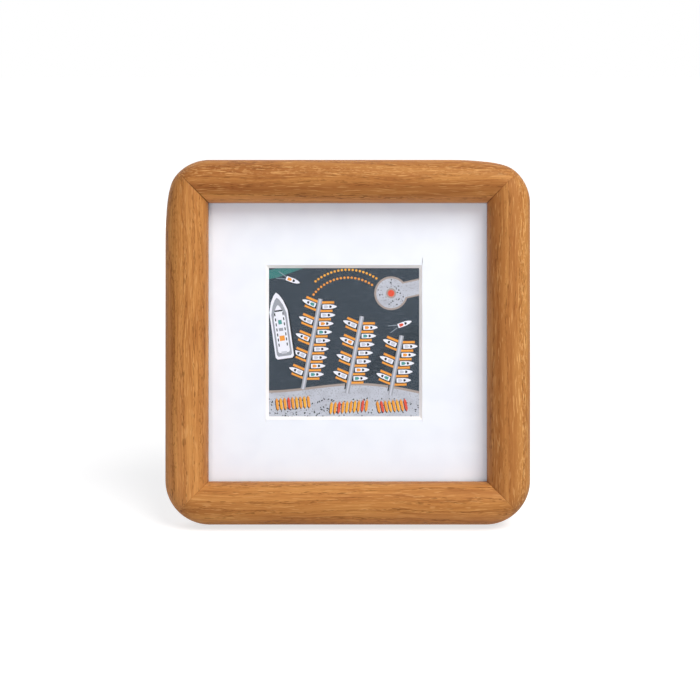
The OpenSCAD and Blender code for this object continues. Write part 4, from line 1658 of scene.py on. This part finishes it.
@dataclass
class Studio:
    """Floor, lights and camera, in millimetres of the upright frame where they follow it."""

    distance: float = 700.0
    focal: float = 71.3
    focus_depth: float = 10.6
    aim_x: float = 1.14
    aim_z: float = 88.06
    lamps: tuple[SoftBox, ...] = (
        SoftBox("key", 46.0, 33.0, 1.0, 15.7, "#fffefa"),
        SoftBox("fill", -7.0, -8.0, 0.8, 6.4, "#fafaff", mirrored=False),
        SoftBox("back", 32.0, -18.0, 2.4, 11.0, "#ffffff", ahead=-1.0),
    )
    ambient: str = "#e8ebf8"
    ambient_strength: float = 0.15
    floor_paper: str = "#c8c8c8"
    # The floor shows this share of white near the object, and rises to all of it between two
    # distances in metres
    near_lift: float = 0.68
    near: tuple = (0.25, 0.9)

    def light(self, tree: bpy.types.NodeTree, rows: dict[str, tuple]) -> None:
        """Fills a tree with nodes that know what the camera sees, straight or in metal and glass.

        Args:
            tree: The tree.
            rows: Its nodes, which may name the result "seen".
        """
        tree.nodes.clear()
        add_nodes(tree, {
            "path": ("ShaderNodeLightPath",),
            "either": ("MAXIMUM", "path:Is Camera Ray", "path:Is Glossy Ray"),
            "seen": ("MAXIMUM", "either", "path:Is Transmission Ray"),
            **rows,
        }, {})

    def floor(self) -> None:
        """Lays a plain pale floor that shows white but keeps the object's shadow."""
        mesh = bpy.data.meshes.new("floor")
        mesh.from_pydata([(x, y, 0) for x, y in box(-6, -4, 6, 14)], [], [(0, 1, 2, 3)])
        made = bpy.data.materials.new("pale_floor_paper")
        made.use_nodes = True
        self.light(made.node_tree, {
            "place": ("ShaderNodeTexCoord",),
            "away": ((VECTOR, {"operation": "LENGTH"}), "place:Object"),
            "far": (SOFT, "away", *self.near, self.near_lift, 1.0),
            "lift": ("MULTIPLY", "seen", "far"),
            "paper": ("ShaderNodeBsdfDiffuse", self.floor_paper),
            "glow": ("ShaderNodeEmission", "#ffffff", "lift"),
            "both": ("ShaderNodeAddShader", "paper", "glow"),
            "out": ("ShaderNodeOutputMaterial", "both"),
        })
        mesh.materials.append(made)
        new_object("floor", mesh)

    def world(self) -> None:
        """Lights softly from all round, and shows white where nothing stands."""
        world = bpy.data.worlds.new("studio")
        bpy.context.scene.world = world
        world.use_nodes = True
        self.light(world.node_tree, {
            "soft": ("ShaderNodeBackground", self.ambient, self.ambient_strength),
            "white": ("ShaderNodeBackground", "#ffffff", 1.0),
            "both": ("ShaderNodeMixShader", "seen", "soft", "white"),
            "out": ("ShaderNodeOutputWorld", "both"),
        })

    def camera(self) -> None:
        """Sets the camera square on to the leaned frame, as the photograph shows it."""
        aim = STANCE.of_frame() @ Vector((self.aim_x, self.focus_depth, self.aim_z))
        lens = bpy.data.cameras.new("camera")
        lens.lens = self.focal
        lens.sensor_width = 36.0
        lens.clip_start = 0.01
        holder = new_object("camera", lens)
        holder.location = aim + STANCE.turned((0, -1, 0)) * self.distance * MM
        holder.rotation_euler = (math.radians(90 - STANCE.lean), 0, 0)
        bpy.context.scene.camera = holder

    def build(self) -> None:
        """Sets up the studio."""
        bpy.context.scene.view_settings.view_transform = "Standard"
        self.camera()
        self.floor()
        self.world()
        for lamp in self.lamps:
            lamp.hang()


def main() -> None:
    """Builds the studio and every piece in order."""
    logging.basicConfig(level=logging.INFO, format="%(name)s: %(message)s")
    finishes = Finishes()
    Studio().build()
    OakFrame().build(finishes)
    WindowMat().build(finishes.mat)
    HarbourPrint().build(finishes.print)
    RebateSheets().build(finishes)
    EaselBack().build(finishes)
    BackHardware().build(finishes)


if __name__ == "__main__":
    main()
